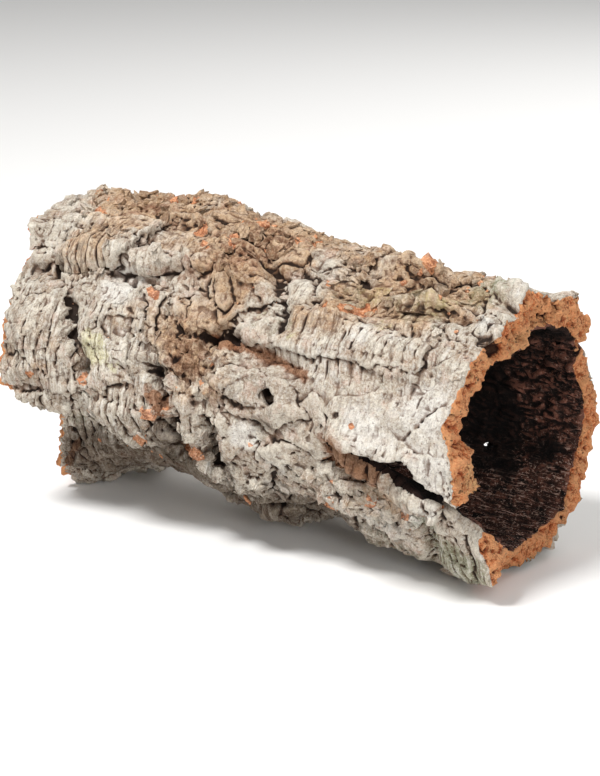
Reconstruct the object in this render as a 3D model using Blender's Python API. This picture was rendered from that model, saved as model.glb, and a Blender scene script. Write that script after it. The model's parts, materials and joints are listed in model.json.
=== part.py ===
"""Cork branch: the hollow tube of virgin cork bark that a branch leaves, lying on its side.

The tube runs along X, with its open, freshly broken mouth at +X, and it lies on the plane z = 0.
The wall is one strip of bark, rolled once round: the strip starts at the free lower edge of the
front wall, runs over the top, down the back and under, and ends in the bottom wall. Its two edges
overlap. In the middle they are grown together, and at both ends they stand open as a slit.

Places on the bark are given as (along, round): millimetres along X, and degrees round the tube,
0 at the front (-Y), 90 on top, 180 at the back and -90 underneath. Other sizes are millimetres.
"""
import math

import bmesh
import bpy
import numpy as np
from mathutils import Matrix, Vector, noise

MM = 0.001

# The tube's axis and outer radius at seven stations along X
STATIONS = (-145, -97, -48, 0, 48, 97, 145)
AXIS_HEIGHT = (84, 95, 97, 87, 86, 81, 78)
OUTER_RADIUS = (85, 82, 80, 81, 76, 81, 79)
WALL = 18
UNROLLED_RADIUS = 80

# Grid of the strip before it is fused: stations along and points round
STEPS_ALONG = 116
STEPS_ROUND = 200

# The broken ends: place along X of the rim, by angle round
LEFT_RIM = (
    (-40, -116), (-28, -116), (-18, -126), (-8, -144), (4, -148), (28, -152), (36, -156), (46, -155),
    (54, -155), (62, -164), (85, -166), (112, -159), (140, -148), (170, -153), (205, -146),
    (240, -151), (265, -148), (282, -148), (299, -143), (314, -134), (330, -123), (345, -121),
    (380, -121),
)
MOUTH_RIM = (
    (-24, 148), (-13, 149), (-2, 147), (8, 144), (12, 141), (28, 142), (38, 145), (50, 149),
    (66, 151), (80, 152), (92, 148), (110, 150), (135, 152), (150, 149), (175, 151), (200, 148),
    (230, 150), (255, 147), (280, 149), (300, 150), (325, 146),
)

# The mouth's cut face: outer and inner radius, by angle round
MOUTH_OUTER = (
    (-24, 56), (-20, 70), (-13, 80), (-2, 83), (10, 85), (35, 83), (50, 82), (66, 78), (78, 73),
    (90, 79), (100, 78), (114, 76), (128, 78), (142, 80), (148, 70), (160, 75), (171, 71),
    (184, 81), (192, 84), (199, 82), (208, 80), (222, 82), (237, 82), (251, 79), (266, 75),
    (279, 80), (296, 83), (313, 82), (324, 73),
)
MOUTH_INNER = (
    (-24, 47), (-7, 57), (6, 68), (18, 73), (32, 74), (42, 71), (52, 64), (64, 56), (75, 51),
    (86, 54), (100, 57), (116, 60), (139, 61), (149, 55), (164, 55), (181, 61), (196, 65),
    (214, 62), (230, 67), (243, 64), (260, 61), (285, 61), (310, 61), (324, 63),
)
MOUTH_BLEND = 30

# The strip's two edges: the angle where the front wall starts, and where the bottom wall ends
FRONT_EDGE = (
    (-160, -6), (-145, -9), (-134, -14), (-125, -20), (-115, -25), (-103, -21), (-88, -18),
    (-76, -27), (-66, -35), (-58, -31), (-50, -36), (-43, -38), (-36, -20), (-30, -5), (60, -5),
    (68, -1), (79, -2), (90, -1), (99, -2), (111, -1), (118, -1), (126, -7), (140, -13), (146, -24),
    (160, -24),
)
BOTTOM_EDGE = (
    (-160, 356), (-60, 356), (-45, 362), (-36, 378), (58, 378), (66, 365), (74, 356), (90, 352),
    (104, 348), (118, 345), (130, 341), (140, 337), (148, 325), (160, 324),
)
# How far each edge stands off the round, and how many degrees that takes to fade
FRONT_LIFT = ((-160, 4), (-60, 3), (-40, 2), (-30, 0), (62, 0), (76, 4), (125, 5), (160, 0))
BOTTOM_DROP = (
    (-160, 15), (-60, 15), (-44, 13), (-34, 0), (60, 0), (74, 11), (110, 13), (135, 10), (150, 2),
    (160, 0),
)
LIFT_FADE = 40
DROP_FADE = 46
EDGE_WALL = 8
EDGE_TAPER = 16

# Furrows: half width, depth and route
FURROWS = (
    (4.0, 9, ((-110, 28), (-103, 15), (-98, 8), (-92, -1))),
    (5.5, 10, ((-43, 2), (-34, -5), (-28, -13), (-29, -24), (-35, -34))),
    (4.5, 9, ((-6, -8), (-3, -17), (-6, -30))),
    (5.0, 9, ((-14, 22), (-6, 26), (0, 29), (18, 26), (35, 23), (52, 21))),
    (6.5, 8, ((30, 70), (56, 62), (80, 60), (98, 61), (114, 63), (131, 66), (152, 58))),
    (3.0, 5, ((4, 5), (18, 2), (31, 5), (36, 10))),
    (4.0, 6, ((-150, 44), (-126, 41), (-107, 39), (-84, 41), (-60, 41), (-42, 40))),
    (4.0, 7, ((-46, 38), (-40, 24), (-44, 10), (-42, 2))),
    (4.5, 7, ((-24, 78), (-6, 72), (10, 62), (24, 50), (30, 38))),
    (4.0, 6, ((-36, -58), (0, -50), (34, -56), (60, -44), (92, -46))),
    (4.0, 7, ((117, -20), (121, -34), (118, -60))),
    (4.0, 6, ((-119, -36), (-112, -52), (-104, -74))),
    (4.0, 5, ((24, -12), (30, -26), (22, -40))),
    (3.5, 5, ((-120, 82), (-96, 84), (-70, 84), (-40, 80))),
    (4.5, 7, ((-150, 118), (-96, 106), (-52, 118), (-8, 108), (40, 118), (92, 108), (148, 116))),
    (5.0, 8, ((-150, 150), (-104, 158), (-60, 146), (-14, 156), (36, 148), (84, 160), (146, 152))),
    (5.0, 7, ((-150, 196), (-92, 186), (-40, 198), (12, 190), (58, 202), (104, 192), (148, 204))),
    (4.5, 8, ((-146, 232), (-88, 240), (-34, 228), (22, 238), (74, 226), (148, 236))),
    (4.0, 6, ((-60, 118), (-48, 132), (-56, 146))),
    (4.0, 6, ((62, 112), (70, 132), (60, 152))),
    (4.0, 6, ((-10, 156), (2, 174), (-6, 192))),
    (4.0, 6, ((90, 160), (84, 176), (94, 194))),
    (4.0, 6, ((-96, 190), (-106, 212), (-92, 238))),
    (4.0, 6, ((40, 196), (32, 216), (44, 232))),
)

# Raised and sunken plates: height, width of the edge, and outline
PLATES = (
    (5.0, 5, ((-131, 44), (-130, 60), (-104, 62), (-79, 59), (-76, 45), (-106, 41))),
    (-6.5, 4, ((-76, 52), (-74, 78), (-52, 78), (-40, 70), (-43, 51))),
    (3.5, 6, ((-92, 36), (-48, 36), (-44, 6), (-36, -6), (-64, -36), (-86, -18))),
    (4.0, 6, ((-150, 36), (-114, 36), (-102, 8), (-94, -8), (-104, -22), (-148, -8))),
    (4.0, 7, ((8, 22), (44, 18), (50, 2), (30, -2), (6, 4), (-4, 14))),
    (4.0, 6, ((6, 30), (30, 48), (60, 50), (120, 46), (116, 30), (56, 28), (34, 30))),
    (3.5, 7, ((-6, 34), (22, 54), (10, 64), (-14, 66), (-22, 44))),
    (4.0, 8, ((6, 104), (24, 72), (60, 78), (66, 104), (40, 110))),
    (-4.0, 7, ((96, 68), (104, 90), (128, 84), (134, 70))),
    (3.5, 6, ((120, -24), (122, -60), (148, -60), (148, -30), (134, -20))),
    (3.0, 8, ((-28, -60), (0, -52), (30, -56), (30, -84), (-30, -84))),
    (3.5, 8, ((-130, 88), (-120, 104), (-70, 98), (-60, 112), (-90, 122), (-140, 112))),
    (3.5, 8, ((-40, 122), (10, 114), (52, 122), (40, 144), (-50, 142))),
    (3.5, 8, ((-140, 162), (-90, 162), (-80, 182), (-140, 190))),
    (4.0, 8, ((-30, 162), (70, 162), (40, 188), (-30, 186))),
    (3.5, 8, ((70, 204), (140, 206), (136, 228), (70, 222))),
    (4.0, 8, ((-84, 202), (0, 200), (10, 226), (-70, 232))),
)

# Rounded ridges and lumps: half width, height and route
RIDGES = (
    (5.0, 7, ((-82, 47), (-72, 46), (-60, 47), (-48, 52))),
    (11.0, 7, ((-162, 62), (-150, 72), (-126, 70))),
    (12.0, 6, ((-156, 84), (-138, 92))),
    (15.0, 6, ((-36, 54), (-22, 62), (-12, 58))),
    (8.0, 6, ((-20, -4), (-22, -20), (-14, -34))),
    (8.0, 5, ((6, -12), (4, -24), (10, -34))),
    (10.0, 8, ((60, 84), (88, 88))),
    (9.0, 8, ((138, 88), (142, 86))),
    (13.0, 2, ((-84, 101), (-66, 102))),
    (11.0, 8, ((134, 228), (136, 244))),
    (9.0, 6, ((132, 204), (136, 212))),
    (7.0, 5, ((78, 0), (100, 1), (122, -3))),
    (9.0, 4, ((52, 50), (62, 52))),
    (10.0, 4, ((-130, 20), (-126, 6))),
    (10.0, 4, ((70, -56), (104, -58))),
    (12.0, 5, ((-20, 170), (20, 166))),
    (10.0, 5, ((-120, 138), (-92, 134))),
    (12.0, 5, ((96, 140), (120, 136))),
    (10.0, 4, ((60, 214), (84, 212))),
)

# The bottom wall's rolled, rough edge that shows inside the slit
ROLLED_EDGE = (8.0, 7, ((72, 354), (88, 350), (104, 346), (120, 342), (132, 338)))

# Pits and knot holes: place, radius and depth
PITS = (
    ((-90, 0), 5, 11),
    ((-126, 43), 6, 11),
    ((-32, 24), 5, 8),
    ((0, 29), 5, 8),
    ((0, 74), 5, 9),
    ((32, 10), 5, 11),
    ((43, 53), 4, 7),
    ((42, 77), 3, 6),
    ((53, 82), 3, 6),
    ((60, 72), 4, 7),
    ((96, 78), 6, 9),
    ((147, 55), 6, 8),
    ((-30, 138), 5, 9),
    ((112, 178), 5, 8),
    ((-64, 216), 6, 9),
)

# Lumps underneath that the tube lies on, hidden behind the lowest outline
FEET = (
    ((-140, 280), 22, 6.5),
    ((-128, 252), 24, 11),
    ((116, 250), 24, 12),
    ((128, 278), 18, 4.5),
)

# Right through the wall: a split down from the mouth, and a pin hole in the back
RIM_SPLIT = {"round": 147, "width": 5, "length": 26, "inner": 48, "outer": 92}
PIN_HOLE = {"along": 93, "round": 212, "width": 5, "inner": 48, "outer": 96}
MOUTH_END = 150
SPLIT_RUNOUT = 8

# The bark's relief stands this much over the round that the stations give
MEAN_RELIEF = 2.2
FUSING_GRAIN = 2.4
TRIANGLES = 9400
GROUND_BLOCK = 400


def smooth_line(places, points):
    """Return the value at each place of a smooth curve through the given points."""
    xs = np.array([point[0] for point in points], float)
    ys = np.array([point[1] for point in points], float)
    slopes = np.gradient(ys, xs)
    index = np.clip(np.searchsorted(xs, places) - 1, 0, len(xs) - 2)
    span = xs[index + 1] - xs[index]
    t = np.clip((places - xs[index]) / span, 0, 1)
    start = (1 + 2 * t) * (1 - t) ** 2 * ys[index] + t * (1 - t) ** 2 * span * slopes[index]
    end = t * t * (3 - 2 * t) * ys[index + 1] + t * t * (t - 1) * span * slopes[index + 1]
    return start + end


def straight_line(places, points):
    """Return the value at each place of straight runs through the given points."""
    return np.interp(places, [point[0] for point in points], [point[1] for point in points])


def soft_step(value):
    """Ease from 0 to 1 as the value goes from 0 to 1."""
    value = np.clip(value, 0, 1)
    return value * value * (3 - 2 * value)


def unrolled(along, degrees):
    """Turn an angle round the tube into millimetres of arc, beside the place along."""
    return along, np.radians(degrees) * UNROLLED_RADIUS


def distance_to_route(along, degrees, route):
    """Return each place's distance in millimetres to a route on the unrolled bark."""
    nearest = np.full(np.shape(along), 1e9)
    for start, end in zip(route[:-1], route[1:]):
        ax, ay = unrolled(*start)
        bx, by = unrolled(*end)
        px, py = unrolled(along, degrees)
        length = (bx - ax) ** 2 + (by - ay) ** 2
        t = np.clip(((px - ax) * (bx - ax) + (py - ay) * (by - ay)) / length, 0, 1)
        gap = np.hypot(px - ax - t * (bx - ax), py - ay - t * (by - ay))
        nearest = np.minimum(nearest, gap)
    return nearest


def inside_outline(along, degrees, outline):
    """Return which places lie inside an outline on the unrolled bark."""
    inside = np.zeros(np.shape(along), bool)
    px, py = unrolled(along, degrees)
    for start, end in zip(outline, outline[1:] + outline[:1]):
        ax, ay = unrolled(*start)
        bx, by = unrolled(*end)
        if ay == by:
            continue
        crosses = (ay > py) != (by > py)
        inside ^= crosses & (px < ax + (py - ay) * (bx - ax) / (by - ay))
    return inside


def both_turns(degrees):
    """Return the angle and the same place one turn back, since the strip overlaps itself."""
    return degrees, degrees - 360


def furrow_depth(along, degrees):
    """Return how deep the furrows cut at each place."""
    depth = np.zeros(np.shape(along))
    for half_width, deepest, route in FURROWS:
        for turn in both_turns(degrees):
            gap = distance_to_route(along, turn, route)
            depth = np.maximum(depth, deepest * (1 - soft_step(gap / half_width - 0.25)))
    return depth


def plate_height(along, degrees):
    """Return the height of the raised and sunken plates at each place."""
    height = np.zeros(np.shape(along))
    for raised, edge, outline in PLATES:
        for turn in both_turns(degrees):
            inside = inside_outline(along, turn, outline)
            gap = distance_to_route(along, turn, outline + outline[:1])
            height += np.where(inside, raised * soft_step(gap / edge + 0.2), 0)
    return height


def ridge_height(along, degrees):
    """Return the height of the rounded ridges and lumps at each place."""
    height = np.zeros(np.shape(along))
    for half_width, raised, route in RIDGES:
        for turn in both_turns(degrees):
            gap = distance_to_route(along, turn, route) / half_width
            height = np.maximum(height, raised * np.sqrt(np.clip(1 - gap * gap, 0, 1)))
    return height


def spot_height(along, degrees, spots, shape):
    """Return the height of round spots, each a place, a radius and a height."""
    height = np.zeros(np.shape(along))
    for place, radius, raised in spots:
        across, up = unrolled(*place)
        for turn in both_turns(degrees):
            px, py = unrolled(along, turn)
            height = np.maximum(height, raised * shape(np.hypot(px - across, py - up) / radius))
    return height


def pit_shape(gap):
    """Return a steep-sided pit's depth, from 1 at its middle to 0 outside."""
    return 1 - soft_step(gap * 1.1 - 0.3)


def foot_shape(gap):
    """Return a broad swelling's height, from 1 at its middle to 0 outside."""
    return soft_step(1.3 - gap)


def bark_noise(along, degrees):
    """Return the bark's plates and chips: cells set at slightly different heights."""
    relief = np.zeros(np.shape(along))
    for index in np.ndindex(relief.shape):
        turn = math.radians(degrees[index])
        place = Vector((
            along[index] / 26,
            math.cos(turn) * UNROLLED_RADIUS / 17,
            math.sin(turn) * UNROLLED_RADIUS / 17,
        ))
        distances, cells = noise.voronoi(place)
        step = noise.cell(cells[0] * 7.3)
        crack = min(1, (distances[1] - distances[0]) * 4)
        fine = noise.noise(place * 2.7)
        relief[index] = 2.2 * step - 2.4 * (1 - crack) + 1.2 * fine - MEAN_RELIEF
    return relief


def inner_noise(along, degrees):
    """Return the inside's soft, lengthwise ripples."""
    relief = np.zeros(np.shape(along))
    for index in np.ndindex(relief.shape):
        turn = math.radians(degrees[index])
        place = Vector((along[index] / 50, math.cos(turn) * 3, math.sin(turn) * 3))
        relief[index] = 2.2 * noise.noise(place) + 1.2 * noise.noise(place * 2.3)
    return relief


def strip_grid():
    """Return the strip's places along and round, as two grids."""
    t = np.linspace(0, 1, STEPS_ALONG)[:, None]
    s = np.linspace(0, 1, STEPS_ROUND)[None, :]
    along = -150 + 300 * t + 0 * s
    for _ in range(3):
        start = straight_line(along, FRONT_EDGE)
        end = straight_line(along, BOTTOM_EDGE)
        degrees = start + (end - start) * s
        left = smooth_line(degrees, LEFT_RIM)
        right = smooth_line(degrees, MOUTH_RIM)
        along = left + (right - left) * t
    return along, degrees


def wall_radii(along, degrees):
    """Return the outer and the inner radius of the strip at each place."""
    axis_radius = smooth_line(along, tuple(zip(STATIONS, OUTER_RADIUS)))
    start = straight_line(along, FRONT_EDGE)
    end = straight_line(along, BOTTOM_EDGE)
    lift = straight_line(along, FRONT_LIFT) * (1 - soft_step((degrees - start) / LIFT_FADE))
    drop = straight_line(along, BOTTOM_DROP) * (1 - soft_step((end - degrees) / DROP_FADE))
    base = axis_radius + lift - drop
    relief = bark_noise(along, degrees) + plate_height(along, degrees)
    relief += ridge_height(along, degrees) - furrow_depth(along, degrees)
    relief -= spot_height(along, degrees, PITS, pit_shape)
    relief += spot_height(along, degrees, FEET, foot_shape)
    half_width, raised, route = ROLLED_EDGE
    gap = distance_to_route(along, degrees, route) / half_width
    relief += raised * np.sqrt(np.clip(1 - gap * gap, 0, 1))

    rim = smooth_line(degrees, MOUTH_RIM)
    at_mouth = soft_step(1 - (rim - along) / MOUTH_BLEND)
    mouth_outer = smooth_line(degrees, MOUTH_OUTER)
    outer = (base + relief) * (1 - at_mouth) + (mouth_outer + 0.35 * relief) * at_mouth

    room = np.minimum(degrees - start, end - degrees) * math.pi / 180 * UNROLLED_RADIUS
    wall = EDGE_WALL + (WALL - EDGE_WALL) * soft_step(room / EDGE_TAPER)
    plain_inner = base - wall + inner_noise(along, degrees)
    mouth_inner = smooth_line(degrees, MOUTH_INNER)
    inner = plain_inner * (1 - at_mouth) + mouth_inner * at_mouth
    return outer, np.minimum(inner, outer - 5)


def placed(along, degrees, radius):
    """Return the points in metres at the given places and radii."""
    height = smooth_line(along, tuple(zip(STATIONS, AXIS_HEIGHT)))
    turn = np.radians(degrees)
    return np.stack((along, -radius * np.cos(turn), height + radius * np.sin(turn)), -1) * MM


def strip_mesh():
    """Return the rolled strip as a closed mesh whose two edges overlap."""
    along, degrees = strip_grid()
    outer, inner = wall_radii(along, degrees)
    outside = placed(along, degrees, outer)
    inside = placed(along, degrees, inner)
    loops = np.concatenate((outside, inside[:, ::-1]), 1)
    rows, ring = loops.shape[:2]
    faces = []
    for row in range(rows - 1):
        for k in range(ring):
            after = (k + 1) % ring
            a = row * ring
            b = a + ring
            faces.append((a + k, a + after, b + after, b + k))
    last = (rows - 1) * ring
    for k in range(STEPS_ROUND - 1):
        opposite = ring - 1 - k
        faces.append((k + 1, k, opposite, opposite - 1))
        faces.append((last + k, last + k + 1, last + opposite - 1, last + opposite))
    mesh = bpy.data.meshes.new("cork_tube")
    mesh.from_pydata(loops.reshape(-1, 3).tolist(), [], faces)
    mesh.update()
    return mesh


def applied(piece):
    """Replace a piece's mesh by its evaluated mesh, and drop its modifiers."""
    graph = bpy.context.evaluated_depsgraph_get()
    mesh = bpy.data.meshes.new_from_object(piece.evaluated_get(graph))
    piece.modifiers.clear()
    piece.data = mesh


def keep_largest(mesh):
    """Delete all but the largest connected surface: crumbs, and voids sealed in the wall."""
    work = bmesh.new()
    work.from_mesh(mesh)
    work.verts.ensure_lookup_table()
    left = set(work.verts)
    largest = set()
    while left:
        seed = left.pop()
        group = {seed}
        front = [seed]
        while front:
            for edge in front.pop().link_edges:
                for vert in edge.verts:
                    if vert in left:
                        left.discard(vert)
                        group.add(vert)
                        front.append(vert)
        if len(group) > len(largest):
            largest = group
    bmesh.ops.delete(work, geom=[v for v in work.verts if v not in largest], context="VERTS")
    work.to_mesh(mesh)
    work.free()


def cutter(name, size, along, place):
    """Add a hidden block that runs radially through the wall at a place."""
    degrees, inner, outer = place["round"], place["inner"], place["outer"]
    mesh = bpy.data.meshes.new(name)
    work = bmesh.new()
    bmesh.ops.create_cube(work, size=1)
    height = float(smooth_line(np.array([along]), tuple(zip(STATIONS, AXIS_HEIGHT)))[0])
    turn = Matrix.Rotation(math.radians(180 - degrees), 4, "X")
    middle = Vector((along, -math.cos(math.radians(degrees)), math.sin(math.radians(degrees))))
    middle.yz = middle.yz * (inner + outer) / 2
    middle.z += height
    scale = Matrix.Diagonal((size[0], outer - inner, size[1], 1))
    work.transform(Matrix.Scale(MM, 4) @ Matrix.Translation(middle) @ turn @ scale)
    work.to_mesh(mesh)
    work.free()
    block = bpy.data.objects.new(name, mesh)
    bpy.context.collection.objects.link(block)
    block.hide_render = True
    block.display_type = "WIRE"
    return block


def ground_block():
    """Add the hidden block under z = 0 that flattens the spots the tube lies on."""
    mesh = bpy.data.meshes.new("ground")
    work = bmesh.new()
    bmesh.ops.create_cube(work, size=GROUND_BLOCK * MM)
    bmesh.ops.translate(work, verts=work.verts, vec=(0, 0, -GROUND_BLOCK * MM / 2))
    work.to_mesh(mesh)
    work.free()
    block = bpy.data.objects.new("ground", mesh)
    bpy.context.collection.objects.link(block)
    block.hide_render = True
    block.display_type = "WIRE"
    return block


def cork_material():
    """Return the bark's plain material."""
    material = bpy.data.materials.new("cork_bark")
    material.use_nodes = True
    surface = material.node_tree.nodes["Principled BSDF"]
    surface.inputs["Base Color"].default_value = (0.48, 0.42, 0.35, 1)
    surface.inputs["Roughness"].default_value = 0.9
    surface.inputs["Metallic"].default_value = 0
    return material


def cork_tube():
    """Build the tube: fuse the rolled strip, thin out its mesh, then cut it."""
    piece = bpy.data.objects.new("cork_tube", strip_mesh())
    bpy.context.collection.objects.link(piece)
    fuse = piece.modifiers.new("fuse", "REMESH")
    fuse.mode = "VOXEL"
    fuse.voxel_size = FUSING_GRAIN * MM
    applied(piece)
    keep_largest(piece.data)
    thin = piece.modifiers.new("thin", "DECIMATE")
    thin.ratio = TRIANGLES / (2 * len(piece.data.polygons))
    applied(piece)
    piece.data.materials.append(cork_material())
    return piece


def cut_tube(piece):
    """Cut the tube's split rim and pin hole, and flatten the spots that it lies on."""
    split_middle = MOUTH_END + SPLIT_RUNOUT - (RIM_SPLIT["length"] + SPLIT_RUNOUT) / 2
    cutters = (
        cutter("rim_split", (RIM_SPLIT["length"] + SPLIT_RUNOUT, RIM_SPLIT["width"]),
               split_middle, RIM_SPLIT),
        cutter("pin_hole", (PIN_HOLE["width"], PIN_HOLE["width"]), PIN_HOLE["along"], PIN_HOLE),
        ground_block(),
    )
    for block in cutters:
        cut = piece.modifiers.new(block.name, "BOOLEAN")
        cut.operation = "DIFFERENCE"
        cut.object = block
    return cutters


def centre_on_origin(piece, others):
    """Move the pieces together, so that the tube's box is centred over the origin."""
    points = np.array([vert.co for vert in piece.data.vertices])
    middle = (points.min(0) + points.max(0)) / 2
    for moved in (piece, *others):
        moved.location.x -= middle[0]
        moved.location.y -= middle[1]


for old in list(bpy.data.objects):
    bpy.data.objects.remove(old)
tube = cork_tube()
centre_on_origin(tube, cut_tube(tube))
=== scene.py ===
# A cork branch: the hollow tube of bark, lying on a pale floor in soft studio light.
# A place on the bark is (along, round): millimetres along the tube, and degrees round it,
# 0 at the front, 90 on top, 180 at the back and -90 underneath. Reliefs are in millimetres.
import json
import math
import random

import bmesh
import bpy
import numpy as np
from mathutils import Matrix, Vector, noise

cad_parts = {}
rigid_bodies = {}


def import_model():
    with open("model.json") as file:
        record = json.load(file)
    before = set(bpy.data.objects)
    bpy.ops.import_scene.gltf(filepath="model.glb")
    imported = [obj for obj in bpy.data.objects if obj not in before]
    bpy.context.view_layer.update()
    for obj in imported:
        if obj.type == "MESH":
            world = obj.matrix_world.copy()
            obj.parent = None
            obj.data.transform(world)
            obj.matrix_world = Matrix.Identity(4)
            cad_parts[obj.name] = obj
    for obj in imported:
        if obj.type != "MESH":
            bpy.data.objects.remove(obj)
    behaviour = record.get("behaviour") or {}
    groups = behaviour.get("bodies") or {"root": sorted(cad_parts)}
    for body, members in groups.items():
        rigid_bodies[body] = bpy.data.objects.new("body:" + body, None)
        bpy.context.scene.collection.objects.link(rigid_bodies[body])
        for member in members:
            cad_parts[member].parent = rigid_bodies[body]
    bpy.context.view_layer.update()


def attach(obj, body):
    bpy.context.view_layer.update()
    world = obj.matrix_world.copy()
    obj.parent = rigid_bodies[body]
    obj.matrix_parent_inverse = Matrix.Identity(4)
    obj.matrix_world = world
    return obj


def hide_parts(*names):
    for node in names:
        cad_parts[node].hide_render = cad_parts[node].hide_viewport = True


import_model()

mm = 0.001

# Where the tube's own axis runs, and how big round the bark is when it is unrolled
tubeAxis = {
    "shift": (7.788, 2.503),
    "stations": (-145, -97, -48, 0, 48, 97, 145),
    "heights": (84, 95, 97, 87, 86, 81, 78),
    "roundRadius": 80,
}

# The camera: degrees round from the front, degrees up, metres away, what it looks at
view = {
    "azimuth": 35, "elevation": 17, "distance": 1.3, "target": (0.0088, 0.0025, 0.079),
    "lens": 106.65, "sensor": 36,
}


def cameraPlace():
    turn, tilt = math.radians(view["azimuth"]), math.radians(view["elevation"])
    level = math.cos(tilt)
    back = Vector((math.sin(turn) * level, -math.cos(turn) * level, math.sin(tilt)))
    return Vector(view["target"]) + back * view["distance"]


def tint(code):  # "#rrggbb" as a linear colour
    parts = [int(code[i:i + 2], 16) / 255 for i in (1, 3, 5)]
    return tuple(p / 12.92 if p <= 0.04045 else ((p + 0.055) / 1.055) ** 2.4 for p in parts) + (1,)


def tints(**codes):
    return {name: tint(code) for name, code in codes.items()}


def selectOnly(piece):
    for other in bpy.context.view_layer.objects:
        other.select_set(False)
    piece.select_set(True)
    bpy.context.view_layer.objects.active = piece


def finishWith(piece, kind, **settings):  # one modifier, set and applied
    selectOnly(piece)
    change = piece.modifiers.new(kind.lower(), kind)
    for name, value in settings.items():
        setattr(change, name, value)
    bpy.ops.object.modifier_apply(modifier=change.name)


def editAll(piece, change, **settings):  # one edit mode operator on the whole mesh
    selectOnly(piece)
    bpy.ops.object.mode_set(mode="EDIT")
    bpy.ops.mesh.select_all(action="SELECT")
    change(**settings)
    bpy.ops.object.mode_set(mode="OBJECT")


def pointsOf(piece, what="co"):
    values = np.empty(len(piece.data.vertices) * 3)
    piece.data.vertices.foreach_get(what, values)
    return values.reshape(-1, 3)


def normalsOf(piece):
    return pointsOf(piece, "normal")


def movePoints(piece, points):
    piece.data.vertices.foreach_set("co", points.ravel())
    piece.data.update()


def setMask(piece, name, values):
    layer = piece.data.attributes.get(name) or piece.data.attributes.new(name, "FLOAT", "POINT")
    layer.data.foreach_set("value", np.asarray(values, np.float32))


def axisHeight(places):  # how high the tube's axis runs, as a smooth line through its stations
    xs, ys = np.array(tubeAxis["stations"], float), np.array(tubeAxis["heights"], float)
    slopes = np.gradient(ys, xs)
    index = np.clip(np.searchsorted(xs, places) - 1, 0, len(xs) - 2)
    span = xs[index + 1] - xs[index]
    t = np.clip((places - xs[index]) / span, 0, 1)
    start = (1 + 2 * t) * (1 - t) ** 2 * ys[index] + t * (1 - t) ** 2 * span * slopes[index]
    end = t * t * (3 - 2 * t) * ys[index + 1] + t * t * (t - 1) * span * slopes[index + 1]
    return start + end


def ease(values, low, high):  # 0 below low, 1 above high, smooth between; low may be above high
    t = np.clip((values - low) / (high - low), 0, 1)
    return t * t * (3 - 2 * t)


def ripple(places, size, seed=0, octaves=1):  # soft noise, about -1 to 1
    scaled = (places / np.array(size, float) + seed * 17.3).tolist()
    if octaves == 1:
        return np.array([noise.noise(p) for p in scaled])
    return np.array([noise.fractal(p, 0.9, 2.1, octaves) for p in scaled])


def ripples(places, rows):  # several of them on top of each other: height, size, seed
    return sum(height * ripple(places, size, seed) for height, size, seed in rows)


def push(places, amount, size, seeds):  # a soft push each way, in millimetres
    return np.stack([amount * ripple(places, size, seed) for seed in seeds], axis=1)


cellShift = 11.7  # how far each seed moves the cells' pattern


def cellsOf(places, size, seed):  # gap to the cell's border, distance to its middle, its mark
    gaps, near, marks = [], [], []
    for place in (places / np.array(size, float) + seed * cellShift).tolist():
        distances, centres = noise.voronoi(place)
        gaps.append(distances[1] - distances[0])
        near.append(distances[0])
        marks.append(centres[0][:])
    return np.array(gaps), np.array(near), np.round(np.array(marks), 3)


def lot(marks, salt):  # one random value from 0 to 1 for each cell
    return np.modf(np.abs(np.sin(marks @ (12.99, 78.23, 37.72) + salt * 5.1) * 4375.85))[0]


# Cells that are each at their own height and lean their own way
def leaningCells(places, size, seed, salts, step, lean):
    gap, _, marks = cellsOf(places, size, seed)
    level = lot(marks, salts[0])
    ways = np.stack([lot(marks, salt) - 0.5 for salt in salts[1:]], axis=1)
    within = places - (marks - seed * cellShift) * np.array(size)
    return gap, marks, level, within, step * (level - 0.5) + lean * np.sum(within * ways, axis=1)


def barkPlaces(points):  # metres to along, round and distance from the tube's axis
    along = points[:, 0] / mm - tubeAxis["shift"][0]
    side = points[:, 1] / mm - tubeAxis["shift"][1]
    rise = points[:, 2] / mm - axisHeight(along)
    turned = np.degrees(np.arctan2(rise, -side))
    turned = np.where(turned < -90, turned + 360, turned)
    return along, turned, np.hypot(side, rise)


def toPoint(along, turned, radius):  # the other way round, one place
    height = float(axisHeight(np.array([float(along)]))[0])
    turn = math.radians(turned)
    return Vector((
        (along + tubeAxis["shift"][0]) * mm,
        (tubeAxis["shift"][1] - radius * math.cos(turn)) * mm,
        (height + radius * math.sin(turn)) * mm,
    ))


def arc(turned):
    return np.radians(turned) * tubeAxis["roundRadius"]


def arcBetween(turned, middle):  # the shorter way round
    away = np.abs(turned - middle) % 360
    return arc(np.minimum(away, 360 - away))


def routeGap(along, turned, route):  # millimetres to a route drawn on the bark
    nearest = np.full(along.shape, 1e3)
    for lap in (0, 360):
        py = arc(turned - lap)
        for start, end in zip(route[:-1], route[1:]):
            ax, ay, bx, by = start[0], arc(start[1]), end[0], arc(end[1])
            length = (bx - ax) ** 2 + (by - ay) ** 2 or 1
            t = np.clip(((along - ax) * (bx - ax) + (py - ay) * (by - ay)) / length, 0, 1)
            gap = np.hypot(along - ax - t * (bx - ax), py - ay - t * (by - ay))
            nearest = np.minimum(nearest, gap)
    return nearest


def insideOutline(along, turned, outline):
    inside = np.zeros(along.shape, bool)
    for lap in (0, 360):
        py = arc(turned - lap)
        within = np.zeros(along.shape, bool)
        for start, end in zip(outline, outline[1:] + outline[:1]):
            ax, ay, bx, by = start[0], arc(start[1]), end[0], arc(end[1])
            if ay != by:
                crossing = ax + (py - ay) * (bx - ax) / (by - ay)
                within ^= ((ay > py) != (by > py)) & (along < crossing)
        inside |= within
    return inside


def spots(along, turned, places):  # soft round spots: (along, round), radius, strength
    total = np.zeros(along.shape)
    for place, radius, strength in places:
        gap = np.hypot(along - place[0], arcBetween(turned, place[1])) / radius
        total = total + strength * np.exp(-gap ** 4 * 0.7)
    return total


def coverage(along, turned, places):  # the same, from 0 to 1
    return np.clip(spots(along, turned, places), 0, 1)


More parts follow.
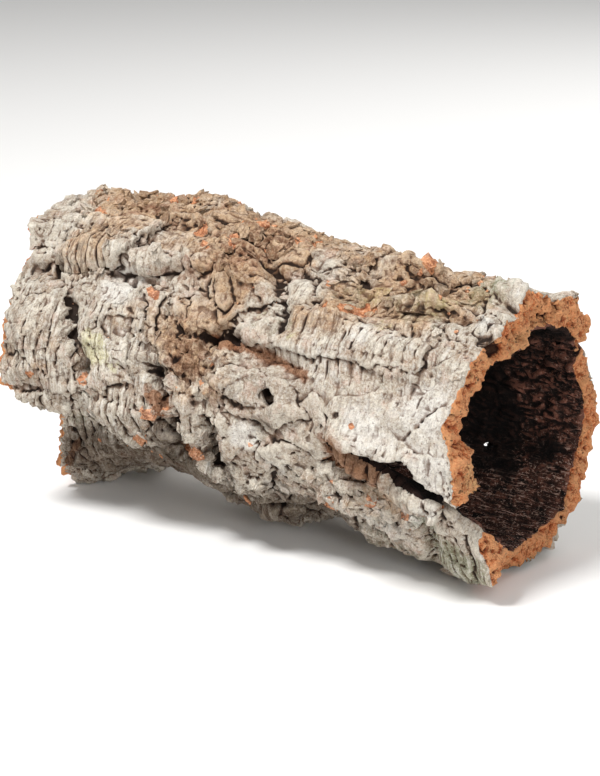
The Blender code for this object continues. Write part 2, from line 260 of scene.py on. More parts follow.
def strip(along, turned, routes):  # soft bands: route, half width, strength
    total = np.zeros(along.shape)
    for route, width, strength in routes:
        band = ease(routeGap(along, turned, route) / width, 1.2, 0.4)
        total = np.maximum(total, strength * band)
    return total


barkTube = {
    "grain": 1.0,         # fineness of the mesh before it is thinned
    "triangles": 194000,
    "plateSize": (32, 21, 21), "plateStep": 2.5, "plateLean": 0.14, "plateCrack": 1.8,
    "layers": 2.4, "layerSize": (26, 14, 14), "layerStep": 1.1,
    "blockSize": (8, 6, 6), "blockStep": 1.6, "blockLean": 0.3, "blockCrack": 0.9,
    "ribGap": (5.0, 8.5), "ribHeight": 1.5, "ribCrack": 0.9,
    "checkSize": (3.6, 5.2), "checkDepth": 0.8,
    "streakGap": 6.0, "streakDepth": 1.0,
    "crumbSize": 4.0, "crumbHeight": 1.0,
    "raggedness": 1.0, "rimRaggedness": 1.3,
    # Soft noise laid on top of each other: height, size, seed
    "swells": ((1.9, (26, 19, 19), 20), (0.8, (12, 8, 8), 28)), "grit": ((0.22, 2.2, 21),),
    "rimLumps": ((7.5, (15, 12, 12), 70), (3.0, 5.5, 71)),
    "ridgeBumps": ((0.9, (3.4, 7, 7), 72), (0.8, 5, 73)),
    # Small pits and broken-out chips: scale, radius at the edge and at full depth, depth, share
    "smallPits": (19, 2.2, 1.0, 2.2, 0.26), "smallChips": (13, 2.6, 1.8, 1.3, 0.01),
    "chipCells": (15, 12, 12),
    # What counts as outside, inside or a cut end: how squarely the surface faces that way
    "outerFacing": (-0.15, 0.35), "innerFacing": (0.15, 0.5), "cutFacing": (0.45, 0.8),
    "mouthFrom": 137, "leftRimReach": 9,    # where the cut ends may be, along the tube
    "mergeWithin": 0.00002,                 # metres between corners that are one
    # How the surface is broken up: (place, radius, strength)
    "ribbed": (
        ((-70, 2), 30, 1.0), ((-66, -22), 20, 1.0), ((-22, -22), 18, 0.7), ((142, -42), 20, 0.6),
        ((-105, 53), 24, 1.0), ((105, 36), 30, 0.25), ((-58, 64), 18, 0.6), ((-100, -56), 34, 1.0),
        ((-126, 10), 34, 0.5), ((140, -50), 20, 1.0), ((-84, 8), 16, 0.6), ((60, 34), 20, 0.4),
        ((10, -56), 26, 0.5),
    ),
    "boldFolds": (((-66, -20), 22, 1.0), ((-105, 53), 20, 0.6), ((-104, -50), 26, 0.6),
                  ((-78, 8), 18, 0.6), ((-24, -22), 14, 0.8), ((20, -58), 16, 0.5)),
    "smooth": (
        ((28, 9), 18, 0.8), ((110, 10), 38, 0.8), ((70, 30), 34, 0.7), ((140, -42), 20, 0.5),
        ((40, 36), 26, 0.6), ((-122, 10), 30, 0.5), ((-58, 64), 17, 0.8), ((-104, 53), 20, 0.3),
        ((-100, -56), 26, 0.3), ((-80, 10), 18, 0.3), ((130, 44), 22, 0.5), ((144, -54), 18, 0.9),
        ((82, 20), 26, 0.6),
    ),
    "crumbly": (
        ((-22, 18), 22, 1.0), ((-37, -12), 12, 1.0), ((16, -34), 22, 0.6), ((50, -34), 24, 0.4),
        ((-126, 92), 26, 1.0), ((-70, 98), 26, 0.9), ((-18, 70), 20, 0.9), ((0, 96), 24, 1.0),
        ((-4, -14), 12, 0.6), ((84, -9), 12, 0.7), ((104, -13), 12, 0.5), ((70, -34), 20, 0.5),
        ((98, -40), 14, 0.6), ((44, 96), 20, 0.5), ((142, 140), 26, 0.8), ((142, 190), 28, 0.8),
        ((142, 240), 26, 0.8), ((-60, 190), 40, 0.6), ((20, 230), 40, 0.6), ((-20, 140), 30, 0.6),
        ((60, 160), 30, 0.5), ((-120, 236), 30, 0.6),
    ),
    "streaked": (((92, 72), 40, 1.0), ((40, 84), 28, 0.6), ((-90, 120), 40, 0.5),
                 ((94, -20), 18, 0.8)),
    "checked": (
        ((-130, 12), 30, 1.0), ((-106, 40), 12, 0.5), ((-40, 40), 16, 0.4), ((90, 26), 30, 0.3),
        ((88, -12), 14, 1.0), ((108, -16), 14, 1.0), ((120, -38), 16, 0.5),
    ),
}

# Gaps that go right through or deep into the wall: how far in they reach, then for each place
# along them the upper and lower edge round, outside and at the inner end
openings = (
    (50, ((66, -1.5, -3, -9, -11), (79, -2, -3.5, -9, -13), (88, -1, -4, -8, -15),
          (96, 0, -5, -7, -16),
          (105, -1.5, -6.5, -9, -17), (110, -0.5, -7.5, -8, -19), (115, 1, -9, -7, -20),
          (120, 2.5, -11.5, -6, -22), (125, 0, -13.5, -12, -24), (133, -10, -17.5, -18, -29),
          (143, -13, -25, -28, -36), (158, -14, -32, -30, -44))),
    (60, ((-54, -40, -46, -40, -46), (-50, -38, -50, -40, -50), (-44, -33, -50, -36, -50),
          (-39, -36, -51, -38, -51), (-36, -45, -50, -45, -50))),
    (66, ((-95, 1, -2, 0, -3), (-92, 4, -5, 1, -7), (-88, 4, -6, 1, -8), (-85, 1, -3, 0, -5))),
    (69, ((28.5, 10.5, 8, 9, 6), (31, 12, 6.5, 10, 4), (34, 12, 6, 10, 4), (36.5, 10, 8, 9, 6))),
)
# Holes that let the light in: along, round and distance from the axis, then the radius
pinHoles = (((90, 210.8, 68), 1.9), ((134.5, 146.5, 66), 2.0))
pinLength, pinShift = 0.05, 0.01  # metres
# The front wall's free edge at the left, undercut so that it stands over the bottom wall
overhang = (
    (-146, -9), (-134, -14), (-125, -20), (-115, -24.5), (-103, -21), (-94, -19), (-84, -20),
    (-76, -26), (-66, -33), (-58, -31.5), (-52, -33),
)
undercut = ((-0.4, 98), (-0.4, 75.5), (-4, 76), (-10, 80), (-12, 98))  # degrees below it, radius
# Broad moves: the radii where they start and are full, place, size, then how far along, outwards
# and round (in degrees)
reshaping = (
    ((83, 74), (150, 20), (36, 36), (0, -10, 0)),
    ((60, 72), (150, 18), (22, 40), (4, -2, 0)),
    ((40, 50), (148, -46), (22, 15), (12, 0, 0)),
    ((40, 60), (144, -72), (24, 14), (3, 0, 0)),
    ((40, 50), (140, 60), (12, 9), (3, 0, 0)),
    ((64, 72), (150, 121), (14, 9), (0, 5, 0)),
    ((10, 20), (138, -29), (24, 13), (0, 0, 7)),
    ((60, 78), (152, -72), (26, 20), (-14, 0, 0)),
    ((76, 64), (152, 9), (16, 8), (0, -4.5, 0)),
)
leftRim = (
    (-90, -150), (-40, -116), (-28, -116), (-18, -126), (-8, -144), (4, -148), (28, -152),
    (46, -155), (54, -155), (62, -164), (85, -166), (112, -159), (140, -148), (170, -153),
    (205, -146), (240, -151), (270, -148),
)

# Where the rim of the mouth is covered with bark, where its cut ends inside the bark's lumps below,
# and where it is lumpy: (place, radius, strength)
barkedRim = (((146, -27), 11, 1.4),)
lowRim = (((148, -118), 36, 1),)
lumpyRim = (((148, 118), 20, 0.7), ((148, 150), 30, 1.0), ((148, 195), 34, 1.0),
            ((148, 238), 30, 1.0))

# Dark holes in the fresh cut at the mouth, sunk and painted near black as shade: degrees round,
# distance from the axis, size
cutHoles = (
    (-20, 64, 2.6), (-15, 59, 2.2), (-23, 58, 1.8), (56, 69, 5.6), (52, 72, 3.6), (76, 60, 2.6),
    (84, 60, 3.0), (93, 61, 3.4), (100, 64, 2.8), (96, 68, 2.0), (106, 64, 2.6), (72, 66, 2.0),
    (66, 62, 2.2), (112, 70, 2.2), (-64, 64, 1.1), (-65, 66, 1.1), (-65.5, 68, 1.1), (-66, 70, 1.1),
    (-66.5, 72, 1.1), (-67, 74, 1.0),
)
# Torn edges: route, half width, how ragged
raggedEdges = (
    (((57, 2), (76, -1), (94, 2), (108, -1), (120, 2), (126, -3), (133, -10), (151, -12)), 5, 2.4),
    (((-146, -9), (-134, -14), (-125, -20), (-103, -21), (-84, -20), (-76, -26), (-66, -33),
      (-52, -33)), 5, 1.0),
)

# Furrows are deepened along their middles, or filled where less than 0: half width, depth, route
furrows = (
    (2.4, 1.8, ((-110, 28), (-103, 15), (-98, 8), (-92, -1))),
    (4.4, 3.5, ((-43, 2), (-34, -5), (-28, -13), (-29, -24), (-35, -34))),
    (3.2, 3.0, ((-6, -8), (-3, -17), (-6, -30))),
    (4.6, -2.0, ((-4, 25), (10, 27), (18, 26), (35, 23), (54, 21))),
    (3.0, 3.0, ((-10, 24), (0, 29), (5, 29))),
    (6.0, -3.6, ((30, 70), (56, 62), (80, 60), (98, 61), (114, 63), (131, 66), (152, 58))),
    (1.8, 1.2, ((4, 5), (18, 2), (31, 5))),
    (4.2, -2.8, ((-118, 40), (-107, 39), (-84, 41), (-60, 41), (-42, 40))),
    (4.2, -3.4, ((-46, 38), (-40, 24), (-44, 10), (-42, 4))),
    (2.8, 2.6, ((-24, 78), (-6, 72), (10, 62), (24, 50), (30, 38))),
    (2.6, 2.4, ((-36, -58), (0, -50), (34, -56), (60, -44), (92, -46))),
    (2.6, 2.6, ((122, -26), (124, -40), (120, -60))),
    (2.8, 4.2, ((66, -12), (83, -16.5), (93, -18), (104, -20.5), (112, -25))),
    (1.3, 2.2, ((80, -2), (82, -8), (80, -15))),
    (1.2, 1.8, ((86, -4), (88, -9), (87, -15))),
    (1.2, 1.8, ((94, -5), (93, -11), (95, -16))),
    (1.3, 2.2, ((100, -6), (102, -12), (100, -19))),
    (1.2, 1.8, ((108, -8), (108, -14), (110, -21))),
    (1.2, 1.8, ((115, -11), (117, -18), (115, -24))),
    (2.4, 2.4, ((40, -22), (52, -34), (58, -50), (52, -70))),
    (2.4, 2.4, ((84, -24), (92, -38), (90, -60))),
    (2.4, 2.4, ((64, -20), (74, -36), (72, -58))),
    (2.2, 2.2, ((12, -36), (18, -52), (14, -70))),
    (2.6, 2.4, ((-119, -36), (-112, -52), (-104, -74))),
    (2.6, 2.0, ((24, -12), (30, -26), (22, -40))),
    (2.2, 2.0, ((-120, 82), (-96, 84), (-70, 84), (-40, 80))),
    (2.4, 1.9, ((-150, 118), (-96, 106), (-52, 118), (-8, 108), (40, 118), (92, 108), (148, 116))),
    (2.4, 1.9, ((-150, 150), (-104, 158), (-60, 146), (-14, 156), (36, 148), (84, 160),
                (146, 152))),
    (2.4, 1.8, ((-150, 196), (-92, 186), (-40, 198), (12, 190), (58, 202), (104, 192), (148, 204))),
    (2.2, 1.7, ((-146, 232), (-88, 240), (-34, 228), (22, 238), (74, 226), (148, 236))),
    (2.6, 2.2, ((-60, 118), (-48, 132), (-56, 146))),
    (2.6, 2.2, ((62, 112), (70, 132), (60, 152))),
    (2.6, 2.2, ((-10, 156), (2, 174), (-6, 192))),
    (2.6, 2.2, ((90, 160), (84, 176), (94, 194))),
    (2.6, 2.2, ((-96, 190), (-106, 212), (-92, 238))),
    (2.6, 2.2, ((40, 196), (32, 216), (44, 232))),
)

# Rounded ridges and lumps with a cleft round them: half width, height, route
ridges = (
    (8.0, 7.0, ((79, -8), (88, -9.5), (100, -12), (112, -15.5), (122, -19.5))),
    (4.6, 4.6, ((128, -15), (133, -18), (133.5, -22))),
    (5.6, 4.6, ((112, -35), (120, -27))),
    (6.0, 3.2, ((-84, 44), (-61, 46.5), (-47, 49))),
    (3.4, 3.0, ((141, 59), (143, 66))),
    (8.5, 3.4, ((138, 86), (145, 86))),
    (5.0, 2.4, ((-40, -22), (-36, -26))),
    (7.0, 2.4, ((-132, 92), (-124, 88))),
    (6.0, 2.6, ((-30, 52), (-22, 56))),
    (5.0, 2.2, ((-14, 48), (-8, 42))),
    (7.0, 2.6, ((-64, 150), (-40, 156))),
    (7.0, 2.8, ((30, 176), (52, 170), (70, 174))),
    (6.0, 2.6, ((-30, 212), (-10, 218))),
)

# Steps round raised (+) and sunken (-) plates: height, outline
steps = (
    (1.6, ((-131, 44), (-130, 60), (-104, 62), (-79, 59), (-76, 45), (-106, 41))),
    (-1.8, ((-76, 52), (-74, 78), (-52, 78), (-40, 70), (-43, 51))),
    (1.3, ((-92, 36), (-48, 36), (-44, 6), (-36, -6), (-64, -36), (-86, -18))),
    (1.3, ((-150, 36), (-114, 36), (-102, 8), (-94, -8), (-104, -22), (-148, -8))),
    (0.9, ((8, 20), (44, 16), (56, 4), (34, -6), (6, 2), (-4, 12))),
    (1.0, ((6, 30), (30, 48), (60, 50), (120, 46), (116, 34), (56, 29), (34, 30))),
    (1.3, ((-6, 34), (22, 54), (10, 64), (-14, 66), (-22, 44))),
    (1.4, ((6, 104), (24, 72), (60, 78), (66, 104), (40, 110))),
    (-1.4, ((96, 68), (104, 90), (128, 84), (134, 70))),
    (1.3, ((120, -24), (122, -60), (148, -60), (148, -30), (134, -20))),
    (1.2, ((-28, -60), (0, -52), (30, -56), (30, -84), (-30, -84))),
    (1.4, ((-130, 88), (-120, 104), (-70, 98), (-60, 112), (-90, 122), (-140, 112))),
    (1.4, ((-40, 122), (10, 114), (52, 122), (40, 144), (-50, 142))),
    (1.4, ((-140, 162), (-90, 162), (-80, 182), (-140, 190))),
    (1.6, ((-30, 162), (70, 162), (40, 188), (-30, 186))),
    (1.4, ((70, 204), (140, 206), (136, 228), (70, 222))),
    (1.6, ((-84, 202), (0, 200), (10, 226), (-70, 232))),
)

# Knot holes and pits: place, radius, more depth
pits = (
    ((-90, -1), 4.2, 5), ((-126, 43), 5, 3.5), ((-32, 24), 4, 3.5), ((0, 29), 4, 3.5),
    ((0, 74), 4, 3.5), ((32, 9), 3.6, 6), ((43, 53), 3, 3.5), ((42, 77), 2.6, 3),
    ((53, 82), 2.4, 3), ((60, 72), 3.4, 3), ((96, 78), 4.4, 3), ((147, 55), 4.4, 3),
    ((-30, 138), 4, 3), ((112, 178), 4, 3), ((-64, 216), 5, 3), ((78, 10), 2, 1.6),
    ((71, 7), 2, 1.6), ((-31, 22), 3, 2),
)


# How much of each way of breaking up there is where no spot asks for it, and how far that varies
everywhere = (
    ("ribbed", 0.25, 0.5), ("crumbly", -0.15, 0.7), ("streaked", -0.1, 0.5), ("checked", -0.1, 0.4),
    ("smooth", 0, 0),
)


def surfaceKinds(along, turned, ring):  # how strongly each way of breaking up shows, 0 to 1
    found = {}
    for name, base, swing in everywhere:
        value = spots(along, turned, barkTube[name]) + base
        if swing:
            value = value + swing * ripple(ring, (50, 32, 32), len(name) + 60)
        found[name] = np.clip(value, 0, 1)
    found["crumbly"] *= 1 - found["smooth"]
    found["crumbly"] = np.maximum(found["crumbly"], 0.7 * strip(along, turned, brownRoutes))
    return found


def outerRelief(along, turned, ring, kinds):
    tube = barkTube
    frayed = along + 3.2 * ripple(ring, 9, 1) + 1.3 * ripple(ring, 2.8, 2)
    frayedTurn = turned + 2.3 * ripple(ring, 9, 3) + 0.9 * ripple(ring, 2.8, 4)
    ribbed, smooth, crumbly = kinds["ribbed"], kinds["smooth"], kinds["crumbly"]
    streaked, checked = kinds["streaked"], kinds["checked"]

    # big plates, each at its own height and leaning its own way
    warp = push(ring, 4.5, 17, (8, 9, 10))
    warp += push(ring, 1.3, 4.5, (50, 51, 52))
    gap, marks, plateLot, within, height = leaningCells(
        ring + warp, tube["plateSize"], 1, (1, 2, 3, 4), tube["plateStep"], tube["plateLean"])
    height *= 1 - 0.55 * smooth
    opened = ease(ripple(ring, (24, 18, 18), 11), 0.0, 0.35)
    plateCrack = ease(gap, 0.07, 0.01) * opened * (1 - smooth)
    height -= tube["plateCrack"] * plateCrack

    # torn layers, like the edges of a stack of paper
    layer = tube["layers"] * ripple(ring, tube["layerSize"], 25, 3)
    layer = np.floor(layer) + ease(layer - np.floor(layer), 0.80, 0.98)
    height += tube["layerStep"] * layer * (1 - 0.75 * smooth)

    # small blocks, only where the bark crumbles
    blockWarp = push(ring, 1.5, 5, (12, 13, 14))
    gap, _, blockLot, _, block = leaningCells(
        ring + blockWarp, tube["blockSize"], 2, (5, 12, 13, 14), tube["blockStep"],
        tube["blockLean"])
    blockCrack = ease(gap, 0.12, 0.02) * ease(ripple(ring, (16, 12, 12), 15), 0.0, 0.4)
    blockCrack = blockCrack * (0.12 + 0.88 * crumbly)
    height += block * (0.2 + 0.8 * crumbly) * (1 - 0.5 * smooth)
    height -= tube["blockCrack"] * blockCrack

    # folds round the tube, each plate with its own spacing: broad tops and narrow clefts
    spacing = tube["ribGap"][0] + (tube["ribGap"][1] - tube["ribGap"][0]) * lot(marks, 6)
    slope = (lot(marks, 7) - 0.5) * 0.5
    count = (along + slope * within[:, 1] + 3.0 * ripple(ring, (26, 15, 15), 16)) / spacing
    count = count + plateLot * 9
    place = np.abs(2 * (count - np.floor(count)) - 1)
    fadeRib = ribbed * ease(ripple(ring, (20, 24, 24), 17), -0.5, 0.1)
    fadeRib = fadeRib * (1 + np.clip(spots(along, turned, tube["boldFolds"]), 0, 1.2))
    height += tube["ribHeight"] * (1 - place ** 3) * fadeRib
    ribCrack = ease(place, 0.80, 0.98) * fadeRib * ease(ripple(ring, (7, 14, 14), 22), -0.2, 0.2)
    height -= tube["ribCrack"] * ribCrack

    # a grid of fine checks, and grooves along the tube
    across = (along + 1.6 * ripple(ring, 9, 26)) / tube["checkSize"][0]
    upward = (arc(turned) + 1.6 * ripple(ring, 9, 27)) / tube["checkSize"][1]
    lines = [np.abs(2 * (value - np.floor(value)) - 1) for value in (across, upward)]
    checkCrack = np.maximum(ease(lines[0], 0.72, 0.94), ease(lines[1], 0.80, 0.97))
    checkCrack = checkCrack * checked * ease(ripple(ring, 8, 29), -0.35, 0.15)
    height -= tube["checkDepth"] * checkCrack
    streaks = np.abs(ripple(ring, (34, tube["streakGap"], tube["streakGap"]), 18))
    streakGroove = ease(streaks, 0.09, 0.0) * streaked * ease(ripple(ring, 15, 23), -0.2, 0.2)
    height -= tube["streakDepth"] * streakGroove
    height += 1.3 * ripple(ring, (26, 8, 8), 24) * streaked

    crumbs = ripple(ring, tube["crumbSize"], 19, 3)
    height += tube["crumbHeight"] * crumbs * (0.04 + 0.96 * crumbly)
    height += ripples(ring, tube["swells"])
    height += ripples(ring, tube["grit"])
    height += coverage(along, turned, lumpyRim) * ripples(ring, tube["rimLumps"])

    size, edge, core, depth, share = tube["smallPits"]
    _, near, pitMarks = cellsOf(ring, size, 3)
    smallPits = ease(near * size, edge, core) * (lot(pitMarks, 7) < share)
    height -= depth * smallPits
    size, edge, core, depth, share = tube["smallChips"]
    _, near, chipMarks = cellsOf(ring + blockWarp, tube["chipCells"], 4)
    chips = ease(near * size, edge, core) * (lot(chipMarks, 8) < share + 0.10 * crumbly)
    chips = np.maximum(chips, ease(spots(frayed, frayedTurn, chipSpots), 0.42, 0.6))
    height -= depth * chips

    sunk, filled = np.zeros(along.shape), np.zeros(along.shape)
    for width, depth, route in furrows:
        change = depth * ease(routeGap(frayed, frayedTurn, route) / width, 1.25, 0.15)
        sunk, filled = np.maximum(sunk, change), np.minimum(filled, change)
    for place, radius, depth in pits:
        gap = np.hypot(frayed - place[0], arcBetween(frayedTurn, place[1])) / radius
        sunk = np.maximum(sunk, depth * ease(gap, 1.3, 0.5))
    height -= sunk + filled
    halfFrayed = along + 0.5 * (frayed - along), turned + 0.5 * (frayedTurn - turned)
    bumps = ripples(ring, tube["ridgeBumps"])
    for width, rise, route in ridges:
        gap = routeGap(*halfFrayed, route) / width
        body = np.sqrt(np.clip(1 - gap * gap, 0, 1))
        height += rise * body - 1.6 * np.exp(-((gap - 1.1) / 0.22) ** 2)
        height += body * bumps
    for rise, outline in steps:
        gap = routeGap(frayed, frayedTurn, outline + outline[:1])
        side = np.where(insideOutline(frayed, frayedTurn, outline), 1, -1)
        height += rise * side * np.exp(-(gap / 3.2) ** 2)

    crack = np.maximum.reduce([plateCrack, blockCrack * 0.8, ribCrack * 0.8, streakGroove * 0.7,
                               smallPits, checkCrack * 0.6])
    return height, {"crack": crack, "sunk": np.clip(sunk / 3, 0, 1), "chip": chips,
                    "plate": plateLot, "block": blockLot}


oldInside = {
    "fibres": 0.9, "fibreSize": (26, 4.6, 4.6), "knobs": 4.6, "knobSize": (9, 6, 6),
    "knobbly": (((120, 150), 46, 1), ((70, 120), 44, 0.8), ((110, 195), 36, 0.8),
                ((60, 190), 40, 0.5)),
}


def innerRelief(along, turned, ring):
    bent = ring + push(ring, 4.0, 11, (60, 61, 62))
    fibres = 1 - np.abs(ripple(bent, oldInside["fibreSize"], 31)) * 2.4
    height = oldInside["fibres"] * fibres + 0.8 * ripple(ring, (7, 2.8, 2.8), 32)
    height = height + 1.8 * ripple(ring, (24, 14, 14), 33, 2)
    knobs = oldInside["knobs"] * np.abs(ripple(bent, oldInside["knobSize"], 63, 2)) - 1.6
    return height + coverage(along, turned, oldInside["knobbly"]) * knobs - 0.5


freshCut = {
    "grains": ((3.2, 10, 34), (2.4, 4.0, 35), (1.4, 2.0, 36)),  # height, size, seed
    "holeCell": 5.5, "holeDepth": 2.4, "cleftDepth": 3.0, "ownHoleDepth": 5.0,
    "chunky": (((150, 75), 34, 1), ((150, 105), 30, 1)),
}


def cutRelief(along, turned, radius, ring, points):
    cell = freshCut["holeCell"]
    _, near, marks = cellsOf(points, cell, 6)
    holes = ease(near * cell, 1.9, 0.9) * (lot(marks, 10) < 0.42)
    height = ripples(points, freshCut["grains"])
    # clefts between chunks of the rim, from the outside inwards
    cleft = np.abs(ripple(ring, (400, 8, 8), 37)) + 0.25 * ripple(points, 5, 38)
    clefts = ease(cleft, 0.09, 0.0) * (0.35 + 0.65 * coverage(along, turned, freshCut["chunky"]))
    own = np.zeros(len(height))
    for turn, far, size in cutHoles:
        gap = np.hypot(np.radians(turned - turn) * far, radius - far) / size
        own = np.maximum(own, ease(gap + 0.5 * ripple(points, 3.4, 39), 1.1, 0.75))
    height = height - freshCut["holeDepth"] * holes - freshCut["cleftDepth"] * clefts
    height = height - freshCut["ownHoleDepth"] * own
    return height, np.maximum.reduce([holes * 0.7, clefts * 0.6, own])


def reshape(points):  # broad changes to the bare form, before any relief
    along, turned, radius = barkPlaces(points)
    turn = np.radians(turned)
    for deep, place, size, (length, outwards, sideways) in reshaping:
        gap = np.hypot((along - place[0]) / size[0], arcBetween(turned, place[1]) / size[1])
        weight = np.exp(-gap ** 4 * 0.7) * ease(radius, deep[0], deep[1])
        sweep = np.radians(sideways) * radius * weight * mm
        points[:, 0] += length * weight * mm
        points[:, 1] += sweep * np.sin(turn) - outwards * weight * np.cos(turn) * mm
        points[:, 2] += sweep * np.cos(turn) + outwards * weight * np.sin(turn) * mm


def neighbourMean(piece, points, rounds):
    edges = np.empty(len(piece.data.edges) * 2, np.int32)
    piece.data.edges.foreach_get("vertices", edges)
    a, b = edges[0::2], edges[1::2]
    count = np.bincount(a, minlength=len(points)) + np.bincount(b, minlength=len(points))
    count = np.maximum(count, 1)
    for _ in range(rounds):
        total = np.empty_like(points)
        for axis in range(points.shape[1]):
            total[:, axis] = (np.bincount(a, points[b, axis], len(points))
                              + np.bincount(b, points[a, axis], len(points)))
        points = 0.5 * points + 0.5 * total / count[:, None]
    return points


def cutAway(piece, rings):  # rings of (along, round, radius), lofted into a cutter
    shape = bmesh.new()
    loops = [[shape.verts.new(toPoint(*place)) for place in ring] for ring in rings]
    for here, there in zip(loops[:-1], loops[1:]):
        for i in range(len(here)):
            j = (i + 1) % len(here)
            shape.faces.new((here[i], here[j], there[j], there[i]))
    shape.faces.new(loops[0][::-1])
    shape.faces.new(loops[-1])
    bmesh.ops.recalc_face_normals(shape, faces=shape.faces)
    mesh = bpy.data.meshes.new("cutter")
    shape.to_mesh(mesh)
    shape.free()
    cutter = bpy.data.objects.new("cutter", mesh)
    bpy.context.collection.objects.link(cutter)
    finishWith(piece, "BOOLEAN", object=cutter, operation="DIFFERENCE", solver="EXACT")
    bpy.data.objects.remove(cutter)


def openTheSlits(piece):
    beyond, skin = 94, 80  # distances from the axis outside the bark and at its surface
    for reach, stations in openings:
        cutAway(piece, [(
            (along, upper + 1, beyond), (along, upper, skin), (along, upperIn, reach),
            (along, lowerIn, reach), (along, lower, skin), (along, lower - 1, beyond),
        ) for along, upper, lower, upperIn, lowerIn in stations])
    cutAway(piece, [[(along, edge + turn, radius) for turn, radius in undercut]
                    for along, edge in overhang])


def boreThrough(piece, place, size):  # a pin hole along the line from the camera
    at = toPoint(*place)
    along = (at - cameraPlace()).normalized()
    bpy.ops.object.select_all(action="DESELECT")
    bpy.ops.mesh.primitive_cylinder_add(
        vertices=10, radius=size * mm, depth=pinLength, location=at + along * pinShift,
        rotation=along.to_track_quat("Z", "Y").to_euler())
    pin = bpy.context.active_object
    finishWith(piece, "BOOLEAN", object=pin, operation="DIFFERENCE", solver="EXACT")
    bpy.data.objects.remove(pin)


def bareTube():  # a copy of the solid, opened, remeshed and smoothed
    selectOnly(bpy.data.objects["cork_tube"])
    bpy.ops.object.duplicate()
    piece = bpy.context.view_layer.objects.active
    piece.name = piece.data.name = "barkTube"
    editAll(piece, bpy.ops.mesh.remove_doubles, threshold=barkTube["mergeWithin"])
    finishWith(piece, "SUBSURF", levels=1, render_levels=1)
    openTheSlits(piece)
    for place, size in pinHoles:
        boreThrough(piece, place, size)
    finishWith(piece, "REMESH", mode="VOXEL", voxel_size=barkTube["grain"] * mm)
    finishWith(piece, "SMOOTH", factor=0.5, iterations=8)
    return piece


def makeBarkTube():
    tube = barkTube
    piece = bareTube()
    shaped = pointsOf(piece)
    placeBefore = barkPlaces(shaped)[0]
    facing = neighbourMean(piece, normalsOf(piece), 2)
    facing = facing[:, 0] / np.maximum(np.linalg.norm(facing, axis=1), 1e-6)
    reshape(shaped)
    movePoints(piece, shaped)
    print("bark tube: remeshed,", len(piece.data.vertices), "points")

    points = pointsOf(piece)
    normals = neighbourMean(piece, normalsOf(piece), 2)
    normals /= np.maximum(np.linalg.norm(normals, axis=1), 1e-6)[:, None]
    along, turned, radius = barkPlaces(points)
    turn, far = np.radians(turned), tubeAxis["roundRadius"]
    outward = normals[:, 2] * np.sin(turn) - normals[:, 1] * np.cos(turn)
    ring = np.stack([along, far * np.cos(turn), far * np.sin(turn)], axis=1)
    rim = np.interp(turned, [place[0] for place in leftRim], [place[1] for place in leftRim])
    endward = np.where(along < rim + tube["leftRimReach"], -facing, 0)
    endward = np.where(placeBefore > tube["mouthFrom"], facing, endward)
    endward = endward * (1 - coverage(along, turned, barkedRim))
    cut = ease(endward, *tube["cutFacing"])
    cut = cut * (1 - coverage(along, turned, lowRim) * ease(radius, 71, 75))
    outer = ease(outward, *tube["outerFacing"]) * (1 - cut)
    inner = ease(-outward, *tube["innerFacing"]) * (1 - cut)

    height = np.zeros(len(points))
    names = ("crack", "sunk", "chip", "plate", "block", "pore", "ribbed", "streaked", "crumbly")
    masks = {name: np.zeros(len(points)) for name in names}
    near = outer > 0.01
    kinds = surfaceKinds(along[near], turned[near], ring[near])
    relief, marks = outerRelief(along[near], turned[near], ring[near], kinds)
    height[near] += relief * outer[near]
    marks.update((name, kinds[name]) for name in ("ribbed", "streaked", "crumbly"))
    for name, values in marks.items():
        masks[name][near] = values
    print("bark tube: outside carved")
    near = inner > 0.01
    height[near] += innerRelief(along[near], turned[near], ring[near]) * inner[near]
    near = cut > 0.01
    relief, masks["pore"][near] = cutRelief(
        along[near], turned[near], radius[near], ring[near], points[near] / mm)
    height[near] += relief * cut[near]
    print("bark tube: inside and cut ends carved")

    rimward = ease(np.abs(endward), 0.15, 0.5) * ease(np.abs(endward), 0.98, 0.7)
    ragged = tube["raggedness"] * (1 - 0.5 * inner) * (0.3 + 0.7 * masks["crumbly"])
    ragged = ragged + tube["rimRaggedness"] * rimward
    ragged = ragged + strip(along, turned, raggedEdges)
    fray = push(points / mm, 1, 6.5, (40, 41, 42)) + push(points / mm, 0.5, 2.6, (43, 44, 45))
    points = points + (normals * height[:, None] + fray * ragged[:, None]) * mm
    points[:, 2] = np.maximum(points[:, 2], 0)
    movePoints(piece, points)
    stainBark(piece, points, (along, turned, radius), (outward, endward, cut, outer), masks)

    ratio = tube["triangles"] / (2 * len(piece.data.polygons))
    if ratio < 1:
        finishWith(piece, "DECIMATE", ratio=ratio, use_collapse_triangulate=True)
    selectOnly(piece)
    bpy.ops.object.shade_smooth()
    print("bark tube:", len(piece.data.polygons), "faces")
    return piece


